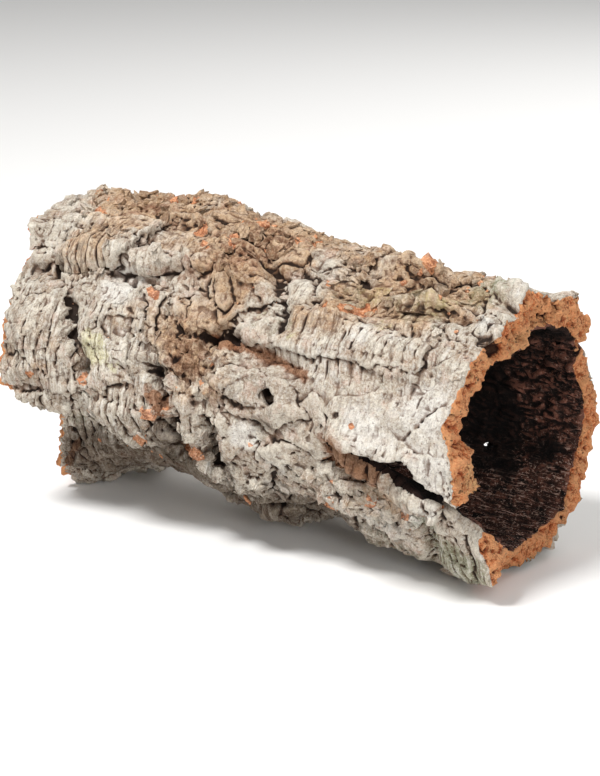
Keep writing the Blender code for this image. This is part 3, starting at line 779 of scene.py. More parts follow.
def stainBark(piece, points, places, ways, masks):  # what the material reads at each point
    along, turned, radius = places
    outward, endward, cut, outer = ways
    # hollows and crests of the carved surface, for painted shade that darkens the hollows and a
    # painted highlight that lightens the crests
    normals = normalsOf(piece)
    soft = neighbourMean(piece, points, 3)
    softer = neighbourMean(piece, soft, 16)
    fine = np.sum((soft - points) * normals, axis=1) / mm
    broad = np.sum((softer - points) * normals, axis=1) / mm
    deep = fine * 1.6 + broad * 0.75 + masks["crack"] * 0.5 + masks["sunk"] * 0.75
    setMask(piece, "deep", np.clip(deep, -2, 2))
    setMask(piece, "cut", endward * np.where(cut > 0.001, 1, 0))
    # painted shade: the walls of the pin holes and of the slit take the dark inside colour
    tunnels = spots(along, turned, darkTunnels) * ease(np.abs(outward), 0.8, 0.5)
    slits = spots(along, turned, darkSlits) * ease(radius, 76, 72)
    slits = slits * ease(np.abs(outward), 0.75, 0.4)
    dark = np.maximum(tunnels, slits)
    setMask(piece, "inside", np.where(dark > 0.2, np.maximum(-outward, dark), -outward))
    for name in ("chip", "plate", "block", "pore", "ribbed", "streaked"):
        setMask(piece, name, masks[name])
    # painted shade inside the tube and down in the slit
    setMask(piece, "murk", spots(along, turned, insideDark) + slits)
    setMask(piece, "ochre", spots(along, turned, ochreRim) * ease(radius, 68, 62))
    for name, spotted in patches.items():
        values = spots(along, turned, spotted)
        if name == "brown":
            values = np.maximum(values, strip(along, turned, brownRoutes))
        setMask(piece, name, values * outer)


# All below are (place, radius, strength). Walls of the pin holes and of the slit, given the dark
# inside colour as painted shade
darkTunnels = (((90, 211), 7, 3), ((134, 147), 12, 3))
darkSlits = (((100, -8), 30, 3),)
# Where the inside is painted darkest: painted shade inside the tube
insideDark = (
    ((82, 196), 25, 1.2), ((62, 165), 38, 0.9), ((136, 124), 20, 1.0), ((104, 120), 26, 0.5),
    ((54, 214), 34, 0.7), ((112, 26), 66, 0.9), ((20, 180), 60, 0.8), ((-60, 60), 90, 0.6),
    ((112, 222), 8, 0.5), ((120, 150), 14, 0.5), ((126, 206), 12, 0.6), ((96, 214), 14, 0.7),
)

# Where the fresh cut is yellower, near the inside
ochreRim = (((150, -8), 15, 1.0), ((150, 70), 22, 0.5), ((150, 100), 22, 0.5), ((150, 45), 10, 0.4))

# Where flakes have come off and the fresh cork shows
chipSpots = (
    ((-59, -30), 4.5, 1.0), ((-129, 73), 6.5, 1.0), ((-81, 98), 7, 1.0), ((-74, 100), 5, 1.0),
    ((-48, 63), 4, 0.9), ((-54, 74), 5, 1.0), ((-21, 71), 7.5, 1.0), ((-14, 73), 4, 1.0),
    ((69, 55), 6, 1.0), ((63, 53), 4, 1.0), ((72, 60), 4, 1.0), ((-11, 94), 5, 1.0),
    ((-2, 93), 6, 1.0), ((5, 90), 5, 1.0), ((-33, -36), 5, 0.9), ((3, -44), 3, 0.9),
    ((-36, 96), 4, 0.8), ((40, 66), 3, 0.9), ((-64, -46), 4, 0.9), ((-150, 20), 4, 0.9),
    ((-112, 96), 6, 1.0), ((-53, 34), 3.4, 0.9), ((-140, 86), 4, 0.9), ((-96, 104), 5, 1.0),
    ((-46, 108), 5, 1.0), ((52, 52), 3, 0.9), ((-91, -6), 2.6, 1.0), ((-125, -2), 2.6, 0.9),
    ((-143, -6), 2.6, 0.9), ((-93, -20), 3, 1.0), ((110, -38), 3, 0.9), ((-60, 132), 6, 1.0),
    ((20, 150), 6, 1.0), ((96, 128), 5, 1.0), ((-110, 176), 6, 1.0), ((60, 214), 6, 1.0),
    ((-30, 236), 6, 1.0), ((124, 206), 5, 1.0), ((-128, 228), 5, 1.0),
)

# Patches of colour on the bark
patches = {
    "white": (
        ((120, 8), 26, 0.5), ((142, -4), 14, 0.5), ((92, 8), 14, 0.5), ((17, -9), 9, 0.9),
        ((-75, 35), 11, 1.5), ((-58, 58), 7, 0.9), ((-58, 70), 5, 0.9), ((132, 25), 14, 0.5),
        ((60, 30), 16, 0.3), ((80, 44), 8, 0.7), ((-20, 40), 12, 0.4), ((-55, 20), 14, 0.3),
        ((30, -40), 10, 0.4), ((-120, -2), 12, 0.2), ((142, 62), 6, 1.2), ((100, 48), 8, 0.7),
        # the spots at (98, -36) and (70, -42) are painted light on the shaded underside
        ((98, -36), 15, 0.5), ((70, -42), 16, 0.35), ((117, -31), 6, 1.3), ((132, -19), 4, 0.7),
        ((34, -22), 8, 0.5), ((144, 86), 9, 0.5), ((-38, -24), 5, 0.8),
    ),
    "lichen": (
        ((-84, 8), 9, 1.0), ((-70, 2), 7, 0.4), ((88, 50), 7, 0.4), ((72, 66), 9, 0.5),
        ((110, 70), 10, 0.4), ((14, 40), 8, 0.3), ((40, 36), 6, 0.4),
    ),
    "green": (
        ((138, -52), 20, 1.0), ((122, -34), 8, 0.7), ((146, -90), 20, 0.7), ((100, 66), 22, 0.55),
        ((60, 62), 14, 0.5), ((90, -66), 26, 0.5), ((-112, -30), 8, 0.5), ((130, 82), 14, 0.6),
        ((30, 40), 14, 0.3), ((104, 30), 16, 0.25), ((20, 120), 30, 0.4), ((-70, 180), 40, 0.4),
    ),
    "warm": (
        ((-132, 6), 22, 0.35), ((-100, 95), 46, 0.9), ((-20, 75), 34, 0.9), ((0, 100), 40, 0.8),
        ((90, 78), 44, 0.8), ((-20, 20), 24, 0.9), ((50, 50), 22, 0.5), ((95, -22), 22, 0.5),
        ((-60, 24), 16, 0.3), ((-104, 52), 20, 0.6), ((-58, 64), 16, 0.4), ((-10, 50), 20, 0.6),
    ),
    # Darker and greyer: painted shade, most of it under the front wall's free edge and on the
    # underside
    "dim": (
        ((-104, -55), 30, 1.0), ((-60, -52), 20, 0.9), ((-36, -24), 13, 0.8), ((-4, -24), 11, 0.6),
        ((10, -50), 28, 0.5), ((-38, 2), 8, 0.6), ((90, -66), 26, 0.5), ((40, -60), 28, 0.6),
        ((-66, -30), 12, 0.4), ((28, -4), 8, 0.5), ((-40, -40), 16, 0.6), ((-20, 16), 20, 0.35),
        ((-104, 54), 16, 0.3), ((60, -46), 14, 0.4), ((120, -24), 10, 0.5), ((-20, -60), 30, 0.5),
    ),
    "brown": (
        ((-22, 16), 16, 0.55), ((-37, -10), 9, 0.6), ((20, 27), 9, 0.5), ((0, 4), 7, 0.4),
        ((80, -7), 13, 1.3), ((93, -9), 9, 1.0), ((106, -12), 9, 0.4), ((-35, 45), 9, 0.5),
        ((80, 68), 22, 0.3), ((-104, -55), 26, 0.3), ((-60, -52), 20, 0.3), ((-12, 62), 14, 0.5),
        ((56, -36), 12, 0.4), ((-10, 84), 16, 0.4), ((-100, 84), 16, 0.4),
    ),
}
# Brown floors of open crevices: route, half width, strength
brownRoutes = (
    (((-8, 25), (10, 27), (20, 26), (38, 23), (52, 21)), 4.5, 1.3),
    (((66, -14), (83, -16.5), (93, -17.5), (108, -20.5), (120, -26)), 3.0, 1.4),
    (((-44, -8), (-39, -11), (-30, -6), (-26, -10)), 5, 1.2),
    (((-118, -43), (-126, -49), (-138, -59)), 3, 1.2),
)


def node(tree, kind, inputs=None, **settings):
    made = tree.nodes.new("ShaderNode" + kind)
    for name, value in settings.items():
        setattr(made, name, value)
    for name, value in (inputs or {}).items():
        socket = made.inputs[name]
        if isinstance(value, bpy.types.NodeSocket):
            tree.links.new(value, socket)
        else:
            socket.default_value = value
    return made


def calc(tree, how, a, b=0.0, c=0.0):
    return node(tree, "Math", {0: a, 1: b, 2: c}, operation=how).outputs[0]


def times(tree, value, factor):
    return calc(tree, "MULTIPLY", value, factor)


def scaled(tree, value, factor, more):  # value * factor + more
    return calc(tree, "MULTIPLY_ADD", value, factor, more)


def roughened(tree, value, rough, width):  # a value whose edge wanders with some noise
    return calc(tree, "ADD", value, scaled(tree, rough, width, -width / 2))


def fade(tree, value, low, high):  # 0 at low, 1 at high
    return node(tree, "MapRange", {"Value": value, "From Min": low, "From Max": high},
                interpolation_type="SMOOTHSTEP").outputs["Result"]


def blend(tree, amount, below, above):
    return node(tree, "Mix", {0: amount, 6: below, 7: above}, data_type="RGBA").outputs[2]


def stained(tree, amount, below, above):  # the colour below, multiplied
    return node(tree, "Mix", {0: amount, 6: below, 7: above}, data_type="RGBA",
                blend_type="MULTIPLY").outputs[2]


def coated(tree, colour, look, coats):  # what shows each, where from and to, how much, its colour
    for value, low, high, amount, name in coats:
        colour = blend(tree, times(tree, fade(tree, value, low, high), amount), colour, look[name])
    return colour


def grain(tree, place, size, detail=3.0, rough=0.6, shift=0.0):
    moved = node(tree, "VectorMath", {0: place, 1: (shift, shift * 0.7, shift * 1.3)},
                 operation="ADD")
    return node(tree, "TexNoise", {"Vector": moved.outputs[0], "Scale": 1 / size, "Detail": detail,
                                   "Roughness": rough}).outputs[0]


def stretched(tree, place, factors):
    return node(tree, "VectorMath", {0: place, 1: factors}, operation="MULTIPLY").outputs[0]


def bent(tree, place, scale, amounts, onto, detail=2.0):  # a place pushed about by noise
    moves = node(tree, "TexNoise", {"Vector": place, "Scale": scale, "Detail": detail}).outputs[1]
    return node(tree, "VectorMath", {0: moves, 1: amounts, 2: onto},
                operation="MULTIPLY_ADD").outputs[0]


def cells(tree, place, scale, output):
    return node(tree, "TexVoronoi", {"Vector": place, "Scale": scale}).outputs[output]


def newGroup(name, masks, outputs):  # every group reads a place, and gives a colour first
    group = bpy.data.node_groups.new(name, "ShaderNodeTree")
    for side, kinds in (("INPUT", {"Place": "Vector"} | dict.fromkeys(masks, "Float")),
                        ("OUTPUT", {"Colour": "Color"} | dict.fromkeys(outputs, "Float"))):
        for label, kind in kinds.items():
            group.interface.new_socket(label, in_out=side, socket_type="NodeSocket" + kind)
    given = group.nodes.new("NodeGroupInput").outputs
    out = group.nodes.new("NodeGroupOutput").inputs

    def give(**results):
        for label, value in results.items():
            group.links.new(value, out[label])
        return group

    return group, given, give


barkColours = tints(
    pale="#cbc1b0", tan="#a58f79", grey="#7c7368", white="#e6e3dc", pink="#c0a08e", crest="#ded6c7",
    hollow="#5f4230", dark="#1a100b", chip="#d99468", chipDeep="#9c5c3c", chipPale="#f0c8a6",
    lichen="#d5d0a0", green="#7d8464", brown="#845a3e", sand="#c9b08f", umber="#8c6d56",
    slate="#5a524a", stain="#8f7e6d", warmStain="#f5e0ca", brownStain="#ccab94", dimStain="#aea69e",
)


def makeBarkGroup():
    look = barkColours
    group, given, give = newGroup("barkGrain", (
        "Deep", "White", "Chip", "Lichen", "Green", "Brown", "Warm", "Dim", "Plate", "Block",
        "Ribbed", "Streaked",
    ), ("Roughness", "Height"))
    place = given["Place"]
    broad = grain(group, place, 16, 4, 0.6)
    mottle = grain(group, place, 4.5, 4, 0.65, 30)
    speck = grain(group, place, 1.2, 3, 0.7, 60)
    grit = grain(group, place, 0.6, 2, 0.6, 75)
    blush = grain(group, place, 9, 3, 0.6, 200)
    cloud = grain(group, place, 7, 3, 0.6, 250)
    # fine lines round the tube, and along it
    onto = stretched(group, place, (1, 0.10, 0.10))
    ringLines = grain(group, bent(group, place, 0.16, (3.2, 1.2, 1.2), onto), 1.5, 3, 0.6, 90)
    ringCrack = times(group, fade(group, ringLines, 0.43, 0.36),
                      scaled(group, given["Ribbed"], 0.75, 0.25))
    onto = stretched(group, place, (0.10, 1, 1))
    runLines = grain(group, bent(group, place, 0.2, (1.2, 3, 3), onto), 1.9, 3, 0.6, 120)
    runCrack = times(group, fade(group, runLines, 0.43, 0.35),
                     scaled(group, given["Streaked"], 0.7, 0.3))
    # scales of crust, each in its own tone
    jitter = bent(group, place, 0.35, (3.2, 3.2, 3.2), stretched(group, place, (1, 0.7, 0.7)), 3.0)
    scaleTone, smallTone = (
        node(group, "SeparateColor", {0: cells(group, jitter, scale, 1)}).outputs[channel]
        for scale, channel in ((0.36, 0), (0.85, 1)))

    colour = blend(group, fade(group, broad, 0.40, 0.62), look["pale"], look["tan"])
    colour = coated(group, colour, look, (
        (scaleTone, 0.55, 0.95, 0.45, "crest"),
        (scaleTone, 0.40, 0.0, 0.5, "stain"),
    ))
    warmth = fade(group, roughened(group, given["Warm"], broad, 2.0), 0.1, 0.9)
    warmed = blend(group, fade(group, mottle, 0.4, 0.6), look["sand"], look["umber"])
    colour = blend(group, times(group, warmth, 0.6), colour, warmed)
    shade = scaled(group, given["Plate"], 0.6, times(group, given["Block"], 0.25))
    colour = coated(group, colour, look, (
        (shade, 0.4, 0.85, 0.5, "crest"),
        (shade, 0.35, 0.05, 0.4, "stain"),
        (cloud, 0.50, 0.66, 0.55, "stain"),
        (cloud, 0.47, 0.32, 0.4, "crest"),
        (mottle, 0.52, 0.70, 0.65, "grey"),
        (blush, 0.54, 0.66, 0.5, "pink"),
    ))
    brown = fade(group, roughened(group, given["Brown"], mottle, 1.6), 0.1, 1.0)
    browned = blend(group, fade(group, speck, 0.40, 0.60), look["pink"], look["brown"])
    colour = blend(group, times(group, brown, 0.55), colour, browned)
    # painted shade, darker and greyer
    dim = roughened(group, given["Dim"], mottle, 1.2)
    whiteness = roughened(group, roughened(group, given["White"], mottle, 1.8), broad, 1.4)
    # how strong the painted shade in the hollows is, stronger where the bark is warm
    deep = scaled(group, given["Warm"], 0.3, roughened(group, given["Deep"], mottle, 0.8))
    colour = coated(group, colour, look, (
        (dim, 0.15, 0.8, 0.6, "slate"),
        (whiteness, 0.1, 0.85, 0.75, "white"),
        (smallTone, 0.6, 1.0, 0.3, "white"),
        (smallTone, 0.35, 0.0, 0.35, "stain"),
        (roughened(group, given["Green"], mottle, 1.4), 0.25, 0.8, 0.7, "green"),
        (roughened(group, given["Lichen"], mottle, 1.6), 0.3, 0.6, 0.6, "lichen"),
        (speck, 0.53, 0.70, 0.65, "hollow"),
        (speck, 0.46, 0.31, 0.7, "crest"),
        (grit, 0.52, 0.70, 0.3, "hollow"),
        (grit, 0.46, 0.30, 0.4, "white"),
        # painted highlight: the crests are lighter
        (deep, -0.2, -1.0, 0.3, "crest"),
        (ringLines, 0.55, 0.66, scaled(group, given["Ribbed"], 0.45, 0.1), "white"),
    ))
    colour = blend(group, times(group, ringCrack, 0.6), colour, look["hollow"])
    colour = blend(group, times(group, runCrack, 0.5), colour, look["hollow"])
    # painted shade: the hollows go brown, and near black where they are deepest
    colour = coated(group, colour, look, (
        (deep, 0.15, 0.8, 0.75, "hollow"),
        (deep, 0.65, 1.4, 0.9, "dark"),
    ))
    colour = stained(group, times(group, warmth, 0.9), colour, look["warmStain"])
    colour = stained(group, brown, colour, look["brownStain"])
    # the painted shade darkens the colour once more
    colour = stained(group, fade(group, dim, 0.15, 0.8), colour, look["dimStain"])
    fresh = blend(group, fade(group, mottle, 0.48, 0.62), look["chip"], look["chipDeep"])
    fresh = coated(group, fresh, look, (
        (speck, 0.48, 0.34, 0.7, "chipPale"),
        (speck, 0.54, 0.66, 0.6, "hollow"),
    ))
    chip = fade(group, roughened(group, given["Chip"], mottle, 1.4), 0.5, 0.65)
    colour = blend(group, times(group, chip, 0.85), colour, fresh)
    height = scaled(group, mottle, 0.6, times(group, speck, 0.7))
    for value, rise in ((grit, 0.25), (scaleTone, 0.35), (smallTone, 0.18),
                        (ringCrack, -0.35), (runCrack, -0.3)):
        height = scaled(group, value, rise, height)
    return give(Colour=colour, Roughness=scaled(group, speck, 0.2, 0.78), Height=height)


cutColours = tints(
    orange="#f0925a", amber="#f5b07a", rust="#a54624", pore="#1f0905", ochre="#f2c48c",
    crimson="#6e2a22",
)


def makeCutGroup():
    look = cutColours
    group, given, give = newGroup("cutCork", ("Pore", "Deep", "Ochre"), ("Height",))
    place, deep = given["Place"], given["Deep"]
    broad = grain(group, place, 9, 4, 0.6, 10)
    mottle = grain(group, place, 2.6, 4, 0.7, 40)
    speck = grain(group, place, 1.1, 4, 0.75, 70)
    wine = grain(group, place, 5, 4, 0.7, 140)
    grainPlace = bent(group, place, 0.5, (2.4, 2.4, 2.4), place)
    grains = cells(group, grainPlace, 0.75, 0)
    colour = blend(group, fade(group, broad, 0.4, 0.62), look["orange"], look["amber"])
    colour = coated(group, colour, look, (
        (roughened(group, given["Ochre"], mottle, 1.0), 0.3, 0.6, 0.85, "ochre"),
        (mottle, 0.53, 0.64, 0.75, "rust"),
        (speck, 0.50, 0.36, 0.8, "ochre"),
        (speck, 0.54, 0.64, 0.6, "rust"),
        (wine, 0.60, 0.68, 0.8, "crimson"),
        (grains, 0.45, 0.80, 0.6, "rust"),
        (grains, 0.30, 0.05, 0.5, "ochre"),
        # painted highlight on the crests and painted shade in the hollows
        (deep, -0.2, -1.0, 0.6, "amber"),
        (deep, 0.25, 1.0, 0.7, "rust"),
    ))
    dots = fade(group, cells(group, grainPlace, 0.36, 0), 0.28, 0.12)
    dots = times(group, times(group, dots, fade(group, broad, 0.46, 0.60)), 0.8)
    pores = fade(group, roughened(group, given["Pore"], mottle, 0.8), 0.45, 0.75)
    # near black: the cork's own pores, and painted shade in the holes, the clefts and the deepest
    # hollows
    for more in (pores, times(group, fade(group, deep, 1.0, 1.8), 0.8)):
        dots = calc(group, "MAXIMUM", dots, more)
    colour = blend(group, times(group, dots, 0.95), colour, look["pore"])
    height = scaled(group, mottle, 2.6, times(group, speck, 1.8))
    for value, rise in ((grains, -0.9), (dots, -1.4)):
        height = scaled(group, value, rise, height)
    return give(Colour=colour, Height=height)


insideColours = tints(chocolate="#3a2119", umber="#090403", plum="#94604e", dust="#e6c6b4")


def makeInsideGroup():
    look = insideColours
    group, given, give = newGroup("oldInside", ("Deep", "Murk"), ("Height",))
    place = given["Place"]
    fibre = grain(group, stretched(group, place, (0.08, 1, 1)), 1.1, 4, 0.65, 20)
    broad = grain(group, place, 13, 4, 0.6, 50)
    speck = grain(group, place, 1.2, 4, 0.7, 80)
    patchy = grain(group, place, 5, 4, 0.7, 400)
    rise = node(group, "SeparateXYZ", {0: place}).outputs[2]
    # the fibres and specks are lighter towards the bottom: painted highlight where the light falls
    # into the tube
    low = fade(group, scaled(group, broad, 60, rise), 96, 66)  # the bottom is more fibrous
    fine = scaled(group, low, 0.8, 0.2)
    fineDust, finePlum = times(group, fine, 0.8), times(group, fine, 0.6)
    colour = blend(group, fade(group, broad, 0.42, 0.60), look["chocolate"], look["umber"])
    colour = coated(group, colour, look, (
        (patchy, 0.50, 0.64, scaled(group, low, -0.4, 0.85), "plum"),
        (fibre, 0.52, 0.62, finePlum, "plum"),
        (speck, 0.56, 0.66, fineDust, "dust"),
        (fibre, 0.58, 0.66, fineDust, "dust"),
        (speck, 0.58, 0.70, fade(group, patchy, 0.50, 0.60), "dust"),
        # painted highlight on the crests and painted shade in the hollows
        (given["Deep"], -0.3, -1.0, 0.5, "plum"),
        (given["Deep"], 0.0, 0.7, 0.85, "umber"),
        # painted shade inside the tube
        (roughened(group, given["Murk"], broad, 1.2), 0.15, 0.6, 0.9, "umber"),
    ))
    height = scaled(group, patchy, 2.4, times(group, speck, 1.0))
    return give(Colour=colour, Height=scaled(group, times(group, fibre, fine), 2.0, height))


def makeCorkBark():
    made = bpy.data.materials.new("corkBark")
    made.use_nodes = True
    tree = made.node_tree
    surface = tree.nodes["Principled BSDF"].inputs
    surface["Specular IOR Level"].default_value = 0.25
    coordinates = node(tree, "TexCoord").outputs["Object"]
    place = node(tree, "VectorMath", {0: coordinates, "Scale": 1 / mm},
                 operation="SCALE").outputs[0]

    def mask(name):
        return node(tree, "Attribute", attribute_name=name).outputs["Fac"]

    def finish(group):  # each of its inputs but the place is a mask of the same name
        placed = node(tree, "Group", node_tree=group)
        for socket in placed.inputs:
            tree.links.new(place if socket.name == "Place" else mask(socket.name.lower()), socket)
        return placed.outputs

    bark = finish(makeBarkGroup())
    rough = grain(tree, place, 3.2, 3, 0.6, 300)
    colour, height = bark["Colour"], bark["Height"]
    for group, name, width, low, high in ((makeInsideGroup(), "inside", 0.6, 0.30, 0.42),
                                          (makeCutGroup(), "cut", 0.5, 0.54, 0.60)):
        over = finish(group)
        shown = fade(tree, roughened(tree, mask(name), rough, width), low, high)
        colour = blend(tree, shown, colour, over["Colour"])
        height = node(tree, "Mix", {0: shown, 2: height, 3: over["Height"]}).outputs[0]
    relief = node(tree, "Bump", {"Height": height, "Distance": mm, "Strength": 1.0})
    tree.links.new(colour, surface["Base Color"])
    tree.links.new(bark["Roughness"], surface["Roughness"])
    tree.links.new(relief.outputs[0], surface["Normal"])
    return made


corkBark = makeCorkBark()

tubePiece = makeBarkTube()
tubePiece.data.materials.clear()
tubePiece.data.materials.append(corkBark)
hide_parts("cork_tube")
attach(tubePiece, "root")


# Loose bits. "fresh" is how many show orange cork, and how strongly. "deep" is how dark they are.
# A bit with its own tone isn't as light or dark as the bark that it lies on.
barkFlakes = {
    "models": 10, "count": 1500, "size": (2.4, 7.5), "mostlySmall": 2.2, "lift": 16, "sink": 0.06,
    "fresh": (0.007, 0.9), "deep": (-0.5, 0.25), "ownTone": True, "seeds": (11, 5),
    "corners": 9, "thickness": 0.22, "footSize": 0.86, "stretch": 1.3,
}
barkChunks = {
    "models": 8, "size": (3.5, 9.0), "mostlySmall": 1.6, "lift": 22, "sink": 0.12,
    "fresh": (0.1, 1.0), "deep": (-0.5, 0.1), "ownTone": True, "seeds": (37, 14),
    "shape": (1.25, 0.95, 0.62), "unevenness": 0.13,
    "places": (  # middle, how far it reaches, how many
        ((-132, 84), 17, 60), ((-118, 98), 16, 44), ((-92, 100), 18, 46), ((-40, 98), 20, 40),
        ((-24, 78), 14, 34), ((-28, 60), 12, 24), ((-24, 16), 18, 30), ((4, 92), 18, 30),
        ((56, 92), 26, 36), ((100, 88), 24, 34), ((-36, -12), 10, 16), ((-10, -22), 14, 18),
        ((60, -30), 18, 24), ((100, -34), 14, 22), ((116, -32), 8, 10), ((140, 150), 20, 18),
        ((140, 200), 20, 18), ((-60, 190), 40, 30), ((30, 230), 40, 30), ((30, 160), 40, 26),
    ),
}
corkCrumbs = {
    "models": 6, "count": 420, "size": (0.7, 2.2), "mostlySmall": 2, "lift": 80, "sink": -0.15,
    "fresh": (0.22, 1.0), "deep": (-0.4, 0.3), "ownTone": False, "seeds": (23, 8),
    "shape": (1.2, 0.9, 0.7), "unevenness": 0.5,
}


def modelFlake(chance):  # a thin, bent, broken scale of bark, about 1 across
    corners, thickness = barkFlakes["corners"], barkFlakes["thickness"]
    bpy.ops.object.select_all(action="DESELECT")
    bpy.ops.mesh.primitive_circle_add(vertices=corners, radius=0.5, fill_type="TRIFAN")
    flake = bpy.context.active_object
    editAll(flake, bpy.ops.mesh.extrude_region_move, TRANSFORM_OT_translate={"value": (0, 0, 1)})
    editAll(flake, bpy.ops.mesh.normals_make_consistent, inside=False)
    around = [chance.uniform(0.65, 1.25) for _ in range(corners)]
    bend = chance.uniform(-0.35, 0.15)
    for vertex in flake.data.vertices:
        x, y, z = vertex.co
        far, top = math.hypot(x, y), z > 0.5
        corner = int(round(math.atan2(y, x) / (2 * math.pi) * corners)) % corners
        reach = around[corner] if far > 0.1 else 1
        foot = 1.0 if top else barkFlakes["footSize"]
        x, y = x * reach * foot, y * reach * barkFlakes["stretch"] * foot
        vertex.co = (x, y, (thickness if top else 0) * (1 - 0.6 * far) + bend * far * far)
    return flake


def modelCrumb(chance):  # a broken grain of cork, about 1 across
    bpy.ops.object.select_all(action="DESELECT")
    bpy.ops.mesh.primitive_ico_sphere_add(subdivisions=2, radius=0.5)
    crumb = bpy.context.active_object
    drift = Vector([chance.uniform(-9, 9) for _ in range(3)])
    for vertex in crumb.data.vertices:
        bump = 1 + corkCrumbs["unevenness"] * noise.noise(vertex.co * 2.6 + drift)
        vertex.co = Vector([at * side for at, side in zip(vertex.co, corkCrumbs["shape"])]) * bump
    return crumb


def modelChunk(chance):  # an angular block of broken bark, about 1 across
    bpy.ops.object.select_all(action="DESELECT")
    bpy.ops.mesh.primitive_cube_add(size=0.9)
    chunk = bpy.context.active_object
    editAll(chunk, bpy.ops.mesh.subdivide, number_cuts=1)
    uneven = barkChunks["unevenness"]
    for vertex in chunk.data.vertices:
        shift = Vector([chance.uniform(-uneven, uneven) for _ in range(3)])
        cornerwise = 1 - 0.18 * (vertex.co.length > 0.6)
        vertex.co = (vertex.co * cornerwise + shift) * Vector(barkChunks["shape"])
    return chunk


def masksOf(piece):
    found = {}
    for layer in piece.data.attributes:
        if layer.data_type == "FLOAT" and layer.domain == "POINT":
            values = np.empty(len(piece.data.vertices), np.float32)
            layer.data.foreach_get("value", values)
            found[layer.name] = values
    return found


def scatter(name, kind, makeModel, wishes):  # wishes: how many, and how welcome at each point
    chance, picker = random.Random(kind["seeds"][0]), np.random.default_rng(kind["seeds"][1])
    picks = []
    for count, wish in wishes:
        picks.extend(picker.choice(len(wish), count, replace=False, p=wish / wish.sum()))
    low, high = kind["size"]
    sizes = low + (high - low) * picker.random(len(picks)) ** kind["mostlySmall"]
    shapes = []
    for _ in range(kind["models"]):
        model = makeModel(chance)
        shapes.append((pointsOf(model), [tuple(face.vertices) for face in model.data.polygons]))
        bpy.data.objects.remove(model)

    masks, points, normals = masksOf(tubePiece), pointsOf(tubePiece), normalsOf(tubePiece)
    verts, faces, marks = [], [], {key: [] for key in masks}
    for number, (index, size) in enumerate(zip(picks, sizes)):
        corners, parts = shapes[number % len(shapes)]
        normal = Vector(normals[index])
        sideways = normal.cross(Vector((1, 0, 0)))
        if sideways.length < 0.2:
            sideways = normal.cross(Vector((0, 0, 1)))
        sideways.normalize()
        length = sideways.cross(normal).normalized()
        # most of them lie along the tube
        spin = chance.gauss(0, 0.5) if chance.random() < 0.7 else chance.uniform(0, math.pi)
        sideA = length * math.cos(spin) + sideways * math.sin(spin)
        sideB = normal.cross(sideA).normalized()
        lean = math.radians(chance.uniform(-kind["lift"], kind["lift"]))
        up = (normal * math.cos(lean) + sideA * math.sin(lean)).normalized()
        sideA = sideB.cross(up).normalized()
        base = Vector(points[index]) - normal * (size * kind["sink"]) * mm
        turn = np.array([sideA[:], sideB[:], up[:]])
        placed = corners @ turn * size * mm + np.array(base[:])
        faces.extend(tuple(i + len(verts) for i in part) for part in parts)
        verts.extend(map(tuple, placed.tolist()))
        own = {key: float(masks[key][index]) for key in masks}
        own["chip"] = kind["fresh"][1] if chance.random() < kind["fresh"][0] else 0.0
        own.update(deep=chance.uniform(*kind["deep"]), pore=0.0, inside=-1.0)
        if kind["ownTone"]:
            own.update(cut=0.0, plate=chance.random(), block=chance.random())
        for key, value in own.items():
            marks[key].extend([value] * len(corners))

    mesh = bpy.data.meshes.new(name)
    mesh.from_pydata(verts, [], faces)
    mesh.update()
    piece = bpy.data.objects.new(name, mesh)
    bpy.context.collection.objects.link(piece)
    editAll(piece, bpy.ops.mesh.normals_make_consistent, inside=False)
    bpy.ops.object.shade_smooth_by_angle(angle=math.radians(38))
    for key, values in marks.items():
        setMask(piece, key, values)
    mesh.materials.append(corkBark)
    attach(piece, "root")
    print(name + ":", len(mesh.polygons), "faces")


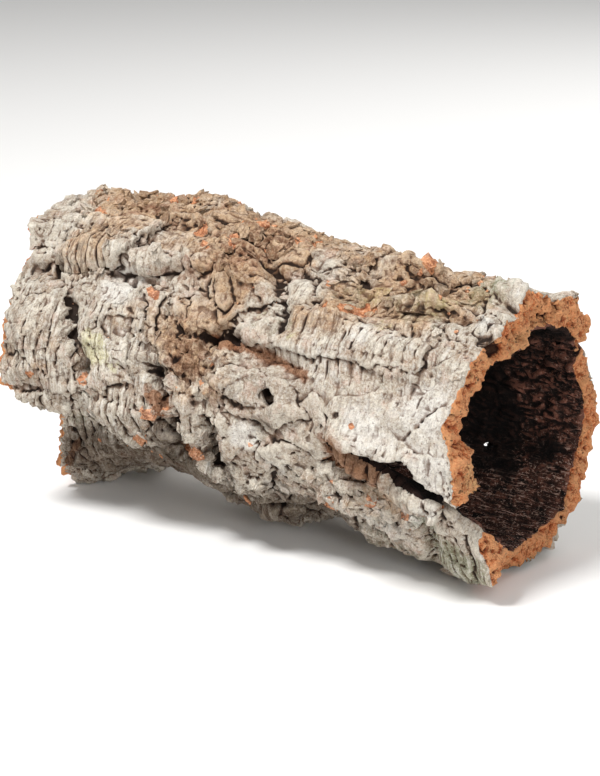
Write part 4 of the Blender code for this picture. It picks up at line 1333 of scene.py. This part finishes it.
def scatterAll():
    masks, points = masksOf(tubePiece), pointsOf(tubePiece)
    inside, cut, deep, height = masks["inside"], masks["cut"], masks["deep"], points[:, 2]
    along, turned, _ = barkPlaces(points)
    rough = np.clip(spots(along, turned, barkTube["crumbly"]) + 0.35, 0, 1)
    calm = coverage(along, turned, barkTube["smooth"])
    wish = (inside < -0.45) * (cut < 0.3) * (height > 0.004) * rough * (1 - 0.85 * calm)
    wish = wish * ease(deep, 0.9, 0.2)
    scatter("barkFlakes", barkFlakes, modelFlake, [(barkFlakes["count"], wish)])

    clear = (inside < -0.5) * (cut < 0.2) * (height > 0.012) * ease(deep, 1.2, 0.4)
    scatter("barkChunks", barkChunks, modelChunk, [
        (count, clear * np.clip(spots(along, turned, ((place, reach, 1.0),)) - 0.1, 0, 1))
        for place, reach, count in barkChunks["places"]])

    wish = (inside < -0.3) * (deep > 0.35) * (height > 0.004) + 0.0
    wish += (cut > 0.6) * 0.25
    scatter("corkCrumbs", corkCrumbs, modelCrumb, [(corkCrumbs["count"], wish)])


scatterAll()


studio = {
    "floorSize": 6.0, "floor": tint("#f4f3f1"), "floorRoughness": 0.9, "world": 0.27,
    # name, place, size, watts
    "lamps": (
        ("keyLamp", (-0.3, -1.05, 2.1), 0.55, 56),
        ("fillLamp", (1.6, -1.2, 0.8), 0.7, 14),
        ("backLamp", (0.2, 1.6, 1.4), 1.2, 20),
    ),
}


def makeStudio():
    bpy.ops.object.select_all(action="DESELECT")
    bpy.ops.mesh.primitive_plane_add(size=studio["floorSize"], location=(0, 0, 0))
    floor = bpy.context.active_object
    floor.name = "paleFloor"
    paint = bpy.data.materials.new("palePaper")
    paint.use_nodes = True
    surface = paint.node_tree.nodes["Principled BSDF"].inputs
    surface["Base Color"].default_value = studio["floor"]
    surface["Roughness"].default_value = studio["floorRoughness"]
    floor.data.materials.append(paint)

    world = bpy.data.worlds.new("paleRoom")
    world.use_nodes = True
    light = world.node_tree.nodes["Background"].inputs
    light["Color"].default_value = (1, 1, 1, 1)
    light["Strength"].default_value = studio["world"]
    bpy.context.scene.world = world

    aim = Vector(view["target"])
    for name, place, size, power in studio["lamps"]:
        bpy.ops.object.light_add(type="AREA", location=place)
        lamp = bpy.context.active_object
        lamp.name = name
        lamp.data.size = size
        lamp.data.energy = power
        lamp.rotation_euler = (Vector(place) - aim).to_track_quat("Z", "Y").to_euler()

    bpy.ops.object.camera_add(location=cameraPlace())
    camera = bpy.context.active_object
    camera.rotation_euler = (cameraPlace() - aim).to_track_quat("Z", "Y").to_euler()
    camera.data.lens = view["lens"]
    camera.data.sensor_width = view["sensor"]
    bpy.context.scene.camera = camera
    bpy.context.scene.view_settings.view_transform = "Standard"


makeStudio()
print("studio: ready")
